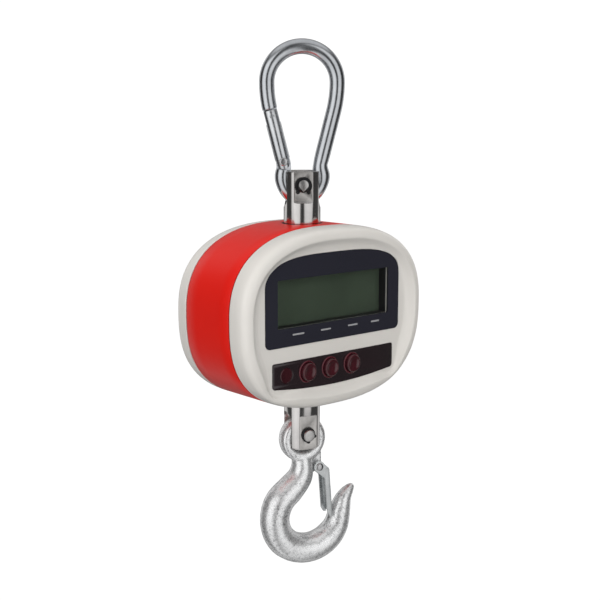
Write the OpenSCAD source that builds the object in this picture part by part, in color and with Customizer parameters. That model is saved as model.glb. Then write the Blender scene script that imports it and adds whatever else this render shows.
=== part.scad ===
// Hanging crane scale in its hanging pose.
// Row frame: the load line is Z, up is +Z, the readout faces -Y, the origin is the
// inner crown of the carabiner, where the scale hangs. All sizes in millimetres.

/* [Carabiner] */
// Wire diameter of the carabiner
wire_d = 10.4; // [8:0.1:11]
// Radius of the crown's centre line
crown_r = 24; // [20:0.5:28]
// Height of the closed gate above its rivet
gate_len = 35.8; // [30:0.1:36]

/* [Clevises] */
// Diameter of both clevis bars
bar_d = 25.5; // [24:0.1:27]
// Width of both clevis slots
slot_w = 13; // [12.6:0.1:14]
// Diameter of both clevis pins
pin_d = 8.5; // [8:0.1:8.6]
// Diameter of the threaded shanks
shank_d = 14; // [12:0.5:16]
// Turn of the upper clevis about the load line, degrees
upper_turn = -36; // [-90:1:90]
// Turn of the lower clevis about the load line, degrees
lower_turn = -17; // [-90:1:90]

/* [Housing] */
// Half width of the housing
body_a = 82.5; // [80:0.1:86]
// Height of the housing above its widest line
body_t = 58.4; // [56:0.1:60]
// Depth of the housing below its widest line
body_b = 64.4; // [62:0.1:68]
// Roundness of the upper outline
exp_t = 2.5; // [2.2:0.05:2.8]
// Roundness of the lower outline
exp_b = 2.6; // [2.2:0.05:2.8]
// Half depth of the coloured middle band
band_y = 23; // [20:0.1:23.2]
// Distance from the load line to the readout face
face_y = 34; // [33:0.1:35]
// Distance from the load line to the flat back
back_y = 38; // [37:0.1:40]
// Wall thickness of the housing
wall = 3; // [2:0.1:3.5]

/* [Readout] */
// Half width of the lens panel
lens_a = 61.1; // [58:0.1:63]
// Half width of the display window
lcd_a = 50.7; // [46:0.1:50.8]
// Half width of the keypad panel
key_a = 55.3; // [52:0.1:57]
// Diameter of the button caps
cap_d = 12.2; // [10:0.1:12.4]

/* [Hook] */
// Outer radius of the hook's eye
eye_ro = 17; // [16:0.1:17.2]
// Inner radius of the hook's eye
eye_ri = 9; // [8.5:0.1:9.5]
// Thickness of the hook's eye
eye_t = 12; // [10:0.1:12.2]
// Length of the safety latch from its rivet
latch_len = 38.6; // [37:0.1:38.7]

/* [Hidden] */
$fn = 48;
wr = wire_d / 2;
zc = -172.4;                 // widest line of the housing
z_up = -88.1;                // upper pin
z_lp = -263.4;               // lower pin
up_end = -78.2;              // head end of the upper clevis
lo_end = -273.8;             // head end of the lower clevis
br = bar_d / 2;
sr = shank_d / 2;
pr = pin_d / 2;

// carabiner path
cz0 = wr - crown_r;          // crown centre
side_r = 80;
leg_a = 14.2;
leg_x = crown_r - side_r * (1 - cos(leg_a));
leg_z = cz0 - side_r * sin(leg_a);
hz = -72;                    // gate rivet height, end of the straight leg
hx = leg_x - (leg_z - hz) * tan(leg_a);
nk_r = 16;
nk_a = 12;
nk_x = hx - nk_r * (cos(nk_a) - cos(leg_a));
nk_z = hz - nk_r * (sin(nk_a) + sin(leg_a));
bt_r = wr + 4.9;             // bottom bend centre line
bt_z = z_up - pr - 0.05 + bt_r - wr;   // its centre
bX = nk_x;
bZ = nk_z - bt_z;
bl_r = (bX * bX + bZ * bZ - bt_r * bt_r) / (2 * (cos(nk_a) * bX + sin(nk_a) * bZ - bt_r));
bl_cx = nk_x - bl_r * cos(nk_a);
bl_cz = nk_z - bl_r * sin(nk_a);
bl_m = atan2(bl_cz - bt_z, bl_cx);      // direction from the bottom centre to the bulge centre
nose_a = leg_a - (gate_len + 0.6 - (leg_z - hz) / cos(leg_a)) / side_r * 57.2958;

function arcp(cx, cz, r, a0, a1, n, i0 = 1) = [for (i = [i0:n]) let (a = a0 + (a1 - a0) * i / n)
    [cx + r * cos(a), cz + r * sin(a), wr]];
bow_path = concat(
    arcp(side_r - crown_r, cz0, side_r, 180 + nose_a, 180, 3, 0),
    arcp(0, cz0, crown_r, 180, 0, 26),
    arcp(crown_r - side_r, cz0, side_r, 0, -leg_a, 3),
    [[hx, hz, wr]],
    arcp(hx + nk_r * cos(leg_a), hz - nk_r * sin(leg_a), nk_r, 180 - leg_a, 180 + nk_a, 4),
    arcp(bl_cx, bl_cz, bl_r, nk_a, bl_m - 180, 7),
    arcp(0, bt_z, bt_r, bl_m - 180, -bl_m, 6),
    arcp(-bl_cx, bl_cz, bl_r, 360 - bl_m, 180 - nk_a, 7),
    arcp(-hx - nk_r * cos(leg_a), hz - nk_r * sin(leg_a), nk_r, -nk_a, leg_a, 4));

function sg(v) = v < 0 ? -1 : 1;
function se(t, a, bt, bb, nt, nb) = let (c = cos(t), s = sin(t))
    [a * sg(c) * pow(abs(c), 2 / (s >= 0 ? nt : nb)),
     zc + (s >= 0 ? bt : bb) * sg(s) * pow(abs(s), 2 / (s >= 0 ? nt : nb))];
// housing outline drawn in by d, as [x, z]
function outline(d, n = 72) = [for (i = [0:n - 1])
    se(i * 360 / n, body_a - d, body_t - d, body_b - d, exp_t, exp_b)];

// lies in the XZ plane: sends drawing x to X, y to Z and height to -Y, starting at y = y0
module xz(y0, h) { translate([0, y0 + h, 0]) rotate([90, 0, 0]) linear_extrude(height = h) children(); }
// cylinder along Y from y0 to y1
module cyl_y(x, z, r, y0, y1) { translate([x, y1, z]) rotate([90, 0, 0]) cylinder(r = r, h = y1 - y0); }
// cylinder along X from x0 to x1
module cyl_x(y, z, r, x0, x1) { translate([x0, y, z]) rotate([0, 90, 0]) cylinder(r = r, h = x1 - x0); }
module box(a, b) { translate(a) cube(b - a); }
// round bar along a path in the XZ plane: list of [x, z, radius]
module sweep(path, k) {
    m = len(path);
    pts = [for (j = [0:m - 1]) let (a = path[max(j - 1, 0)], b = path[min(j + 1, m - 1)],
        dx = b[0] - a[0], dz = b[1] - a[1], l = sqrt(dx * dx + dz * dz), nx = -dz / l, nz = dx / l, p = path[j])
        for (i = [0:k - 1]) let (t = i * 360 / k) [p[0] + p[2] * cos(t) * nx, p[2] * sin(t), p[1] + p[2] * cos(t) * nz]];
    polyhedron(points = pts, faces = concat(
        [for (j = [0:m - 2]) for (i = [0:k - 1]) let (l = (i + 1) % k)
            each [[j * k + i, j * k + l, (j + 1) * k + l], [j * k + i, (j + 1) * k + l, (j + 1) * k + i]]],
        [[for (i = [k - 1:-1:0]) i], [for (i = [0:k - 1]) (m - 1) * k + i]]), convexity = 8);
}
// closed solid through housing outlines: list of [y, inset], flat at both ends
// the rim of the front cover gets narrower and lower near its two bottom corners, beside the key strip
function low_corner(p) = exp(-pow((atan2(zc - p[1], abs(p[0])) - 42) / 10, 2));
module rim_stack(rings, n = 72) {
    pts = [for (r = rings) for (i = [0:n - 1]) let (t = i * 360 / n, g = low_corner(se(t, body_a, body_t, body_b, exp_t, exp_b)),
        d = r[1] * (1 - 0.62 * g), p = se(t, body_a - d, body_t - d, body_b - d, exp_t, exp_b))
        [p[0], r[0] < -face_y ? -face_y + (r[0] + face_y) * (1 - 0.55 * g) : r[0], p[1]]];
    ring_faces(pts, len(rings), n, true);
}
module stack(rings, n = 72) {
    ring_faces([for (r = rings) for (p = outline(r[1], n)) [p[0], r[0], p[1]]], len(rings), n, rings[len(rings) - 1][0] < rings[0][0]);
}
module ring_faces(pts, m, n, up) {
    sides = [for (j = [0:m - 2]) for (i = [0:n - 1]) let (k = (i + 1) % n,
        a = j * n + i, b = j * n + k, c = (j + 1) * n + i, d = (j + 1) * n + k)
        each up ? [[a, b, d], [a, d, c]] : [[a, d, b], [a, c, d]]];
    caps = up ? [[for (i = [n - 1:-1:0]) i], [for (i = [0:n - 1]) (m - 1) * n + i]]
              : [[for (i = [0:n - 1]) i], [for (i = [n - 1:-1:0]) (m - 1) * n + i]];
    polyhedron(points = pts, faces = [for (f = concat(sides, caps)) [for (i = [len(f) - 1:-1:0]) f[i]]], convexity = 6);
}
// coil spring along Z
module coil(r, w, h, turns, n = 14, k = 6) {
    m = turns * n;
    pts = [for (j = [0:m]) for (i = [0:k - 1]) let (a = j * 360 / n, b = i * 360 / k, q = r + w * cos(b))
        [q * cos(a), q * sin(a), w + (h - 2 * w) * j / m + w * sin(b)]];
    polyhedron(points = pts, faces = concat(
        [for (j = [0:m - 1]) for (i = [0:k - 1]) let (l = (i + 1) % k)
            each [[j * k + i, j * k + l, (j + 1) * k + l], [j * k + i, (j + 1) * k + l, (j + 1) * k + i]]],
        [[for (i = [k - 1:-1:0]) i], [for (i = [0:k - 1]) m * k + i]]), convexity = 6);
}
// flat faced screw along +Y: head at yh, point at yp
module screw_y(x, z, r, rh, hh, yh, yp) {
    translate([x, yh, z]) rotate([yh > yp ? 90 : -90, 0, 0]) difference() {
        union() {
            rotate_extrude() polygon([[0, 0], [rh - 0.4, 0], [rh, 0.4], [rh, hh], [r, hh], [r, abs(yh - yp) - 0.6], [r - 0.6, abs(yh - yp)], [0, abs(yh - yp)]]);
        }
        for (a = [0, 90]) rotate([0, 0, a]) translate([-rh * 0.55, -0.45, -1]) cube([rh * 1.1, 0.9, 2]);
    }
}

// ---------- carabiner ----------
module in_upper() { rotate([0, 0, upper_turn]) children(); }
module in_lower() { rotate([0, 0, lower_turn]) children(); }
// gate frame: origin on the rivet, Z along the closed gate, +X towards the inside of the loop
module at_gate() { in_upper() translate([-hx, 0, hz]) rotate([0, -leg_a, 0]) children(); }

module carabiner_bow() {
    color([0.80, 0.81, 0.82]) in_upper() difference() {
        union() {
            sweep(bow_path, 20);
            // flat tongue of the nose and hinge tab
            translate([-hx, 0, hz]) rotate([0, -leg_a, 0]) {
                difference() {
                    box([-4.7, -1.9, 27.5], [4.7, 1.9, 38.2]);
                    translate([0, 3, 31.5]) rotate([90, 0, 0]) linear_extrude(height = 6)
                        polygon([[-0.6, -1.9], [7, -2.7], [7, 1.9], [-0.6, 1.9]]);
                    cyl_y(-0.6, 31.5, 1.9, -3, 3);
                }
                cyl_y(0, 0, 4.9, -2.2, 2.2);
            }
        }
        translate([-hx, 0, hz]) rotate([0, -leg_a, 0]) {
            for (s = [-1, 1]) cyl_y(0, 0, 5.6, s > 0 ? 2.2 : -7, s > 0 ? 7 : -2.2);
            cyl_y(0, 0, 2.03, -4, 4);
        }
    }
}
module gate_rivet() {
    color([0.72, 0.72, 0.73]) at_gate() rotate([90, 0, 0]) rotate_extrude()
        polygon(concat([[0, -6.05], [1.4, -5.98], [2.3, -5.75], [2.9, -5.3], [2.0, -5.3], [2.0, 5.3], [2.9, 5.3], [2.3, 5.75], [1.4, 5.98], [0, 6.05]]));
}
module gate() {
    color([0.82, 0.83, 0.84]) at_gate() difference() {
        intersection() {
            translate([0, 0, -5]) cylinder(r = wr, h = gate_len + 5);
            union() {
                box([-6, -6, 0], [6, 6, gate_len + 1]);
                cyl_y(0, 0, 4.9, -6, 6);
            }
        }
        // lower fork
        cyl_y(0, 0, 5.3, -2.4, 2.4);
        box([-7, -2.4, -7], [7, 2.4, 0]);
        // upper fork
        box([-7, -2.3, 26.6], [7, 2.3, gate_len + 2]);
        translate([0, 0, 5]) cylinder(r = 2.6, h = 17);
        cyl_y(0, 0, 2.05, -7, 7);
        cyl_y(0, 31.5, 1.53, -7, 7);
    }
}
module gate_pin() {
    color([0.70, 0.70, 0.72]) at_gate() cyl_y(0, 31.5, 1.5, -5.1, 5.1);
}
module gate_plunger() {
    color([0.62, 0.62, 0.64]) at_gate() rotate_extrude()
        polygon([[0, 5.02], [1.0, 5.12], [1.8, 5.5], [2.4, 6.3], [2.5, 7.2], [2.5, 10], [0, 10]]);
}
module gate_spring() {
    color([0.45, 0.45, 0.48]) at_gate() translate([0, 0, 10.05]) coil(2.05, 0.32, 11.9, 8);
}

// ---------- clevises, drawn from the head end towards the shank ----------
module clevis_body(flat_u, floor_u, pin_u, shoulder_u, end_u) {
    difference() {
        rotate_extrude($fn = 96) polygon([[0, 0], [br - 1.3, 0], [br, 1.3], [br, shoulder_u - 0.4], [br - 0.4, shoulder_u],
            [sr, shoulder_u], [sr, end_u - 1.2], [sr - 1.2, end_u], [0, end_u]]);
        for (s = [-1, 1]) {
            box([-20, s > 0 ? 10.9 : -20, -1], [20, s > 0 ? 20 : -10.9, flat_u - 1.2]);
            cyl_x(s * 12.1, flat_u - 1.2, 1.2, -20, 20);
        }
        box([-20, -slot_w / 2, -1], [20, slot_w / 2, floor_u - slot_w / 2]);
        cyl_x(0, floor_u - slot_w / 2, slot_w / 2, -20, 20);
        cyl_y(0, pin_u, pr + 0.05, -20, 20);
        cyl_y(0, end_u - 5, 1.6, -20, 20);
    }
}
module pin_body() {
    // along Y, groove for a circlip near each end
    rotate([90, 0, 0]) rotate_extrude() polygon([[0, -13.6], [pr - 0.6, -13.6], [pr, -13], [pr, -12.15], [3.6, -12.15], [3.6, -10.95],
        [pr, -10.95], [pr, 10.95], [3.6, 10.95], [3.6, 12.15], [pr, 12.15], [pr, 13], [pr - 0.6, 13.6], [0, 13.6]]);
}
module circlip(y, a, w) {
    translate([0, y + 0.5, 0]) rotate([90, 0, 0]) rotate([0, 0, a]) {
        rotate_extrude(angle = 296) translate([3.68, 0]) square([w, 1]);
        for (b = [8, 288]) rotate([0, 0, b]) translate([3.2 + w, 0, 0]) difference() { cylinder(r = 1.3, h = 1); translate([0.2, 0, -1]) cylinder(r = 0.5, h = 3); }
    }
}
module washer(z0, ro, ri, h) {
    translate([0, 0, z0]) rotate_extrude($fn = 72) polygon([[ri, 0], [ro - 0.3, 0], [ro, 0.3], [ro, h - 0.3], [ro - 0.3, h], [ri, h]]);
}
module castle_nut(z0, d) {
    // d = 1: castle end towards +Z
    translate([0, 0, z0]) mirror([0, 0, d > 0 ? 0 : 1]) difference() {
        intersection() {
            cylinder(r = 12.7, h = 11, $fn = 6);
            rotate_extrude($fn = 72) polygon([[0, 0], [11.6, 0], [12.8, 1], [12.8, 6.4], [11, 7.6], [9.8, 7.6], [9.8, 11], [0, 11]]);
        }
        translate([0, 0, -1]) cylinder(r = sr + 0.05, h = 14);
        for (a = [30, 90, 150]) rotate([0, 0, a]) box([-14, -1.7, 7.4], [14, 1.7, 12]);
    }
}
module split_pin(z) {
    cyl_y(0, z, 1.35, -10.7, 10.4);
    translate([0, -11.7, z]) rotate([0, 90, 0]) rotate_extrude($fn = 36) translate([1.1, 0]) circle(r = 0.45, $fn = 16);
}
module flanged_bush(z0, d) {
    // flange at z0, sleeve towards d
    translate([0, 0, z0]) mirror([0, 0, d > 0 ? 0 : 1]) rotate_extrude($fn = 72)
        polygon([[sr + 0.06, 0], [12.4, 0], [12.4, 1], [9, 1], [9, 16.4], [sr + 0.06, 16.4]]);
}
module seal(z_out, d) {
    translate([0, 0, z_out]) mirror([0, 0, d > 0 ? 0 : 1]) rotate_extrude($fn = 72)
        polygon([[br + 0.08, 0.35], [14.2, 0.35], [14.2, 3.6], [17.4, 3.6], [17.4, 5.6], [br + 0.08, 5.6]]);
}
module at_up() { in_upper() translate([0, 0, up_end]) rotate([180, 0, 0]) children(); }
module at_lo() { in_lower() translate([0, 0, lo_end]) children(); }

module upper_clevis() { color([0.74, 0.75, 0.77]) at_up() clevis_body(21.8, 25.6, 9.9, 43.2, 77.5); }
module upper_pin() { color([0.66, 0.67, 0.69]) in_upper() translate([0, 0, z_up]) pin_body(); }
module upper_circlips() { color([0.10, 0.10, 0.11]) in_upper() translate([0, 0, z_up]) { circlip(-11.55, -60, 2.4); circlip(11.55, -60, 2.4); } }
module upper_thrust_washer() { color([0.60, 0.61, 0.63]) washer(-141.55, 13, sr + 0.3, 3); }
module upper_nut() { color([0.60, 0.58, 0.50]) in_upper() castle_nut(-141.6, -1); }
module upper_split_pin() { color([0.50, 0.50, 0.52]) in_upper() split_pin(up_end - 72.5); }
module upper_bush() { color([0.72, 0.58, 0.30]) flanged_bush(-121.5, -1); }
module upper_seal() { color([0.07, 0.07, 0.07]) seal(zc + body_t, -1); }

module lower_clevis() { color([0.74, 0.75, 0.77]) at_lo() clevis_body(25, 26.6, 10.4, 44.2, 79.3); }
module lower_pin() { color([0.66, 0.67, 0.69]) in_lower() translate([0, 0, z_lp]) pin_body(); }
module lower_circlips() { color([0.10, 0.10, 0.11]) in_lower() translate([0, 0, z_lp]) { circlip(-11.55, -20, 2.1); circlip(11.55, -20, 2.1); } }
module lower_thrust_washer() { color([0.60, 0.61, 0.63]) washer(-211.45, 13, sr + 0.3, 3); }
module lower_nut() { color([0.60, 0.58, 0.50]) in_lower() castle_nut(-208.4, 1); }
module lower_split_pin() { color([0.50, 0.50, 0.52]) in_lower() split_pin(lo_end + 74.3); }
module lower_bush() { color([0.72, 0.58, 0.30]) flanged_bush(-228.5, 1); }
module lower_seal() { color([0.07, 0.07, 0.07]) seal(zc - body_b, 1); }

// ---------- housing ----------
scr = [[54, -138], [-54, -138], [54, -212], [-54, -212]];
posts = [[40, -139.5], [-40, -139.5], [46, -189], [-46, -189]];
keys = [-25, -4.7, 15.6];
key_z = -209.8;
lz0 = -178.3;
lz1 = -146.1;

module lens_2d(g) {
    // arched panel outline grown by g
    n = 24;
    polygon(concat(
        [for (i = [0:n]) let (t = i * 180 / n) [(lens_a + g) * sg(cos(t)) * pow(abs(cos(t)), 0.62) , -152.4 + (21.4 + g) * pow(sin(t), 0.74)]],
        [for (i = [0:6]) let (t = 180 + i * 15) [-lens_a - g + 4 + 4 * cos(t), -186.6 - g + 0 + 4 * sin(t)]],
        [for (i = [0:6]) let (t = 270 + i * 15) [lens_a + g - 4 + 4 * cos(t), -186.6 - g + 4 * sin(t)]]));
}
module key_2d(g) {
    n = 16;
    polygon(concat(
        [[key_a + g - 1.5, -200.9 + g], [-key_a - g + 1.5, -200.9 + g], [-key_a - g, -202.4 + g], [-key_a - g, -215.2 - g]],
        [for (i = [0:3]) let (t = 190 + i * 20) [-key_a - g + 3.6 + 3.6 * cos(t), -215.0 - g + 3.6 * sin(t)]],
        [for (i = [0:n]) let (x = -50.4 + i * 100.8 / n) [x, -221.7 - g + 3.3 * pow(abs(x) / 50.4, 2)]],
        [for (i = [0:3]) let (t = 290 + i * 20) [key_a + g - 3.6 + 3.6 * cos(t), -215.0 - g + 3.6 * sin(t)]],
        [[key_a + g, -215.2 - g], [key_a + g, -202.4 + g]]));
}
module front_cover() {
    color([0.86, 0.85, 0.83]) union() {
        difference() {
            rim_stack([[-band_y - 0.8, 0], [-30, 0.25], [-34, 1.0], [-36.4, 2.3], [-37.7, 4.0], [-38.35, 5.9], [-38.6, 7.4],
                   [-38.15, 8.7], [-36.4, 10.5], [-35.2, 12.1], [-34.4, 13.9], [-face_y, 15.6]]);
            stack([[-band_y - 0.7, wall], [-31.5, wall + 1.6]]);
            xz(-face_y - 1, 2.3) lens_2d(0.15);
            xz(-face_y - 1, 2.3) key_2d(0.15);
            box([-lcd_a - 0.2, -40, lz0 - 0.2], [lcd_a + 0.2, -20, lz1 + 0.2]);
            for (x = keys) cyl_y(x, key_z, cap_d / 2 + 0.3, -40, -20);
            cyl_y(-43.6, key_z, 4.2, -40, -20);
        }
        for (p = scr) difference() { cyl_y(p[0], p[1], 4, -31.6, -24); cyl_y(p[0], p[1], 2.05, -30.4, -20); }
        for (p = posts) difference() { cyl_y(p[0], p[1], 2.5, -31.6, -21.05); cyl_y(p[0], p[1], 1.05, -28, -20); }
    }
}
module middle_band() {
    color([0.74, 0.07, 0.05]) union() {
        difference() {
            xz(-band_y, 2 * band_y) polygon(outline(0, 120));
            xz(-band_y - 1, 2 * band_y + 2) polygon(outline(wall, 120));
            translate([0, 0, zc]) cylinder(r = 14.25, h = 100);
            translate([0, 0, zc - 100]) cylinder(r = 14.25, h = 100);
        }
        // lugs that carry the housing on the load cell brackets
        difference() {
            intersection() {
                xz(-8, 17.5) polygon(outline(1, 120));
                union() for (s = [-1, 1]) box([s > 0 ? 60 : -84, -9, -157.5], [s > 0 ? 84 : -60, 10, -143.5]);
            }
            for (s = [-1, 1]) cyl_y(s * 66, -150.5, 2.05, -2, 12);
        }
    }
}
module rear_cover() {
    color([0.86, 0.85, 0.83]) union() {
        difference() {
            stack([[band_y + 0.8, 0], [30, 0.3], [34, 1.3], [36.4, 3.0], [37.6, 5.2], [back_y, 8]]);
            stack([[band_y + 0.7, wall], [back_y - 3, wall + 4]]);
            box([-57, back_y - 2.4, -190.5], [57, back_y + 1, -153.5]);
            box([-54.3, 30, -188.3], [54.3, back_y + 1, -155.7]);
            for (p = scr) { cyl_y(p[0], p[1], 3.9, back_y - 4, back_y + 1); cyl_y(p[0], p[1], 2.3, 20, back_y + 1); }
            translate([0, back_y + 4, -153]) rotate([0, 90, 0]) translate([0, 0, -9]) cylinder(r = 5.4, h = 18);
        }
        for (p = scr) difference() { cyl_y(p[0], p[1], 5.4, band_y + 1.2, back_y - 2.9); cyl_y(p[0], p[1], 2.3, 20, back_y - 4.05); cyl_y(p[0], p[1], 3.9, back_y - 4.1, back_y); }
    }
}
module gasket(y0) {
    xz(y0, 0.8) difference() { polygon(outline(0.7, 96)); polygon(outline(wall - 0.2, 96)); }
}
module front_gasket() { color([0.08, 0.08, 0.08]) gasket(-band_y - 0.8); }
module rear_gasket() { color([0.08, 0.08, 0.08]) gasket(band_y); }
module lens_panel() { color([0.10, 0.10, 0.15]) xz(-face_y - 0.3, 1.5) lens_2d(0); }
module lcd_frame() {
    color([0.06, 0.06, 0.07]) difference() {
        box([-53.5, -31.4, -181.4], [53.5, -21.1, -143.0]);
        box([-lcd_a, -40, lz0], [lcd_a, -15, lz1]);
        box([-52.1, -25, -180.1], [52.1, -15, -144.5]);
    }
}
module lcd_glass() { color([0.18, 0.21, 0.17]) box([-52, -24.95, -180], [52, -22.2, -144.6]); }
module lcd_backlight() { color([0.85, 0.85, 0.80]) box([-51.6, -22.15, -179.6], [51.6, -21.15, -145]); }
module keypad_panel() {
    color([0.12, 0.08, 0.09]) difference() {
        xz(-face_y - 0.3, 1.5) key_2d(0);
        for (x = keys) cyl_y(x, key_z, cap_d / 2 + 0.3, -40, -20);
        cyl_y(-43.6, key_z, 5.4, -40, -20);
    }
}
module status_window() {
    color([0.20, 0.05, 0.06]) union() { cyl_y(-43.6, key_z, 5.3, -face_y - 0.35, -face_y + 1.15); cyl_y(-43.6, key_z, 4.0, -face_y + 1.1, -30.5); }
}
module button(x) {
    color([0.28, 0.05, 0.07]) translate([x, 0, key_z]) rotate([90, 0, 0]) rotate_extrude($fn = 64)
        polygon([[0, 27.7], [2, 27.7], [2, 30.3], [7.3, 30.3], [7.3, 31.35], [cap_d / 2, 31.35], [cap_d / 2, 36.6],
                 [cap_d / 2 - 0.5, 37.2], [cap_d / 2 - 1.2, 37.4], [3.4, 37.0], [1.7, 36.75], [0, 36.7]]);
}
module button_left() { button(keys[0]); }
module button_middle() { button(keys[1]); }
module button_right() { button(keys[2]); }
module key_switches() {
    color([0.15, 0.15, 0.16]) for (x = keys) { box([x - 3, -24.5, key_z - 3], [x + 3, -21.05, key_z + 3]); cyl_y(x, key_z, 1.7, -26.5, -24.5); }
}
module main_board() {
    color([0.05, 0.28, 0.14]) difference() {
        box([-48, -21, -217], [48, -19.4, -137]);
        for (p = posts) cyl_y(p[0], p[1], 1.2, -25, -15);
    }
}
module board_parts() {
    color([0.09, 0.09, 0.10]) union() {
        box([-34, -19.35, -206], [-24, -17.8, -196]);
        box([24, -19.35, -176], [32, -17.6, -168]);
        box([-44, -19.35, -176], [-36, -17.4, -160]);
        box([26, -19.35, -160], [42, -17.2, -154]);
        for (i = [0:5]) box([-20 + 3.4 * i, -19.35, -213], [-18.4 + 3.4 * i, -18.5, -210]);
        cyl_y(-43.6, key_z, 2.5, -28, -21.05);
        box([30, -24.4, -200], [38, -21.05, -192]);
        box([-12, -24.2, -196], [10, -21.05, -188]);
    }
}
module buzzer() { color([0.05, 0.05, 0.05]) cyl_y(38, -207, 5.5, -23.9, -21.05); }
module board_screws() { color([0.6, 0.6, 0.62]) for (p = posts) screw_y(p[0], p[1], 1, 2, 1.3, -18.05, -27); }

module load_cell() {
    color([0.70, 0.71, 0.73]) difference() {
        box([-22, -15, -227.5], [22, 15, -122.5]);
        box([-14, -20, -158], [14, 20, -138.5]);
        box([-14, -20, -211.5], [14, 20, -191.5]);
        translate([0, 0, -139]) cylinder(r = 9.02, h = 20);
        translate([0, 0, -230]) cylinder(r = 9.02, h = 20);
        // S shaped flexure
        box([-23, -20, -164.2], [12, 20, -162]);
        box([-12, -20, -187.6], [23, 20, -185.4]);
        cyl_y(0, -174.8, 8, -20, 20);
        for (s = [-1, 1]) for (z = [-146.5, -154]) cyl_x(0, z, 1.95, s > 0 ? 15.5 : -23, s > 0 ? 23 : -15.5);
    }
}
module gauge_covers() {
    color([0.55, 0.56, 0.58]) for (s = [-1, 1]) box([-12, s > 0 ? 15.05 : -15.95, -184], [12, s > 0 ? 15.95 : -15.05, -165.6]);
}
module load_cell_brackets() {
    color([0.62, 0.63, 0.65]) for (m = [0, 1]) mirror([m, 0, 0]) difference() {
        union() {
            box([22.05, -12, -158], [24.5, 12, -142.8]);
            box([22.05, 9.55, -158], [71.5, 12, -142.8]);
        }
        for (z = [-146.5, -154]) cyl_x(0, z, 2.05, 20, 26);
        cyl_y(66, -150.5, 2.3, 5, 15);
    }
}
module bracket_screws() {
    color([0.45, 0.45, 0.47]) union() {
        for (s = [-1, 1]) {
            screw_y(s * 66, -150.5, 2, 3.6, 2.6, 14.65, 0);
            for (z = [-146.5, -154]) translate([s * 27.1, 0, z]) rotate([0, s > 0 ? -90 : 90, 0])
                rotate_extrude() polygon([[0, 0.8], [1.2, 0.8], [1.2, 0], [3.2, 0], [3.4, 0.2], [3.4, 2.55], [1.9, 2.55], [1.9, 10.8], [1.4, 11.2], [0, 11.2]]);
        }
    }
}
module cover_screws() { color([0.35, 0.35, 0.37]) for (p = scr) screw_y(p[0], p[1], 2, 3.6, 2.8, back_y - 1.1, -30.2); }
module battery_box() {
    color([0.09, 0.09, 0.10]) difference() {
        box([-54, 16.5, -188], [54, back_y - 3.4, -156]);
        box([-52.8, 17.7, -186.8], [52.8, 40, -157.2]);
    }
}
module battery_cells() {
    color([0.16, 0.30, 0.55]) for (s = [-1, 1]) for (z = [-164.55, -179.45])
        translate([s > 0 ? 0.9 : -50.1, 25.2, z]) rotate([0, 90, 0]) rotate_extrude()
            polygon([[0, 0], [5.2, 0], [7.15, 0.6], [7.15, 47.2], [6.4, 47.9], [2.8, 48.0], [2.8, 49.2], [0, 49.2]]);
}
module battery_contacts() {
    color([0.80, 0.74, 0.55]) union() {
        for (s = [-1, 1]) for (z = [-164.55, -179.45]) box([s > 0 ? 51.9 : -52.5, 20.2, z - 5], [s > 0 ? 52.5 : -51.9, 30.2, z + 5]);
        for (z = [-164.55, -179.45]) translate([-51.85, 25.2, z]) rotate([0, 90, 0]) coil(3.2, 0.25, 1.65, 1.5);
        for (z = [-164.55, -179.45]) cyl_x(25.2, z, 2.4, 50.2, 51.9);
    }
}
module battery_door() {
    color([0.84, 0.83, 0.81]) union() {
        difference() {
            box([-56.6, back_y - 2.25, -190.1], [56.6, back_y, -153.9]);
            translate([0, back_y + 4, -153]) rotate([0, 90, 0]) translate([0, 0, -9]) cylinder(r = 5.4, h = 18);
            for (i = [0:5]) box([-15, back_y - 0.5, -166 - 2.4 * i], [15, back_y + 1, -165 - 2.4 * i]);
        }
        for (x = [-26, 26]) box([x - 1, back_y - 3.3, -186], [x + 1, back_y - 2.2, -158]);
    }
}

// ---------- hook ----------
eye_z = z_lp - (eye_ri - pr) + 0.03;
lx = 11.1;                   // latch rivet
lz = -289.7;
latch_a = 4.4;
// centre line of the hook: x, z, radius
hk = [[0, -279.6, 5.6], [0, -284, 7.3], [0.2, -290, 8.0], [-2.2, -297.6, 9.2], [-9.6, -305.6, 10.1], [-17.6, -313.4, 10.5],
      [-21.4, -325, 10.6], [-18.6, -338, 10.7], [-9.6, -347.6, 10.7], [4, -351.3, 10.7], [17, -347.8, 10.3], [26.4, -338.6, 9.3],
      [30.2, -326.6, 7.9], [33.2, -317.6, 5.9], [37.6, -311.6, 3.9], [40.2, -309.2, 2.3]];
function cr(a, b, c, d, t) = 0.5 * ((2 * b) + (c - a) * t + (2 * a - 5 * b + 4 * c - d) * t * t + (3 * b - a - 3 * c + d) * t * t * t);
hn = len(hk);
function hp(i) = hk[min(max(i, 0), hn - 1)];
hs = 3;
hpath = [for (i = [0:hn - 2]) for (j = [0:hs - 1]) cr(hp(i - 1), hp(i), hp(i + 1), hp(i + 2), j / hs), hk[hn - 1]];
module hook() {
    color([0.55, 0.56, 0.56]) in_lower() difference() {
        union() {
            translate([0, 0, eye_z]) rotate([90, 0, 0]) rotate_extrude($fn = 96)
                polygon([for (i = [0:23]) let (t = i * 15) [(eye_ro + eye_ri) / 2 + (eye_ro - eye_ri) / 2 * sg(cos(t)) * pow(abs(cos(t)), 0.7),
                    eye_t / 2 * sg(sin(t)) * pow(abs(sin(t)), 0.7)]]);
            sweep(hpath, 20);
            cyl_y(lx, lz, 3.9, -1.9, 1.9);
            xz(-1.9, 3.8) polygon([[0, -297], [8.2, -294.6], [11.1, -293.6], [14.9, -289.7], [14.7, -287.5], [14.6, -274.3], [9.5, -276], [0, -282]]);
        }
        cyl_y(lx, lz, 2.03, -4, 4);
    }
}
module at_latch() { in_lower() translate([lx, 0, lz]) rotate([0, -latch_a, 0]) children(); }
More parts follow.
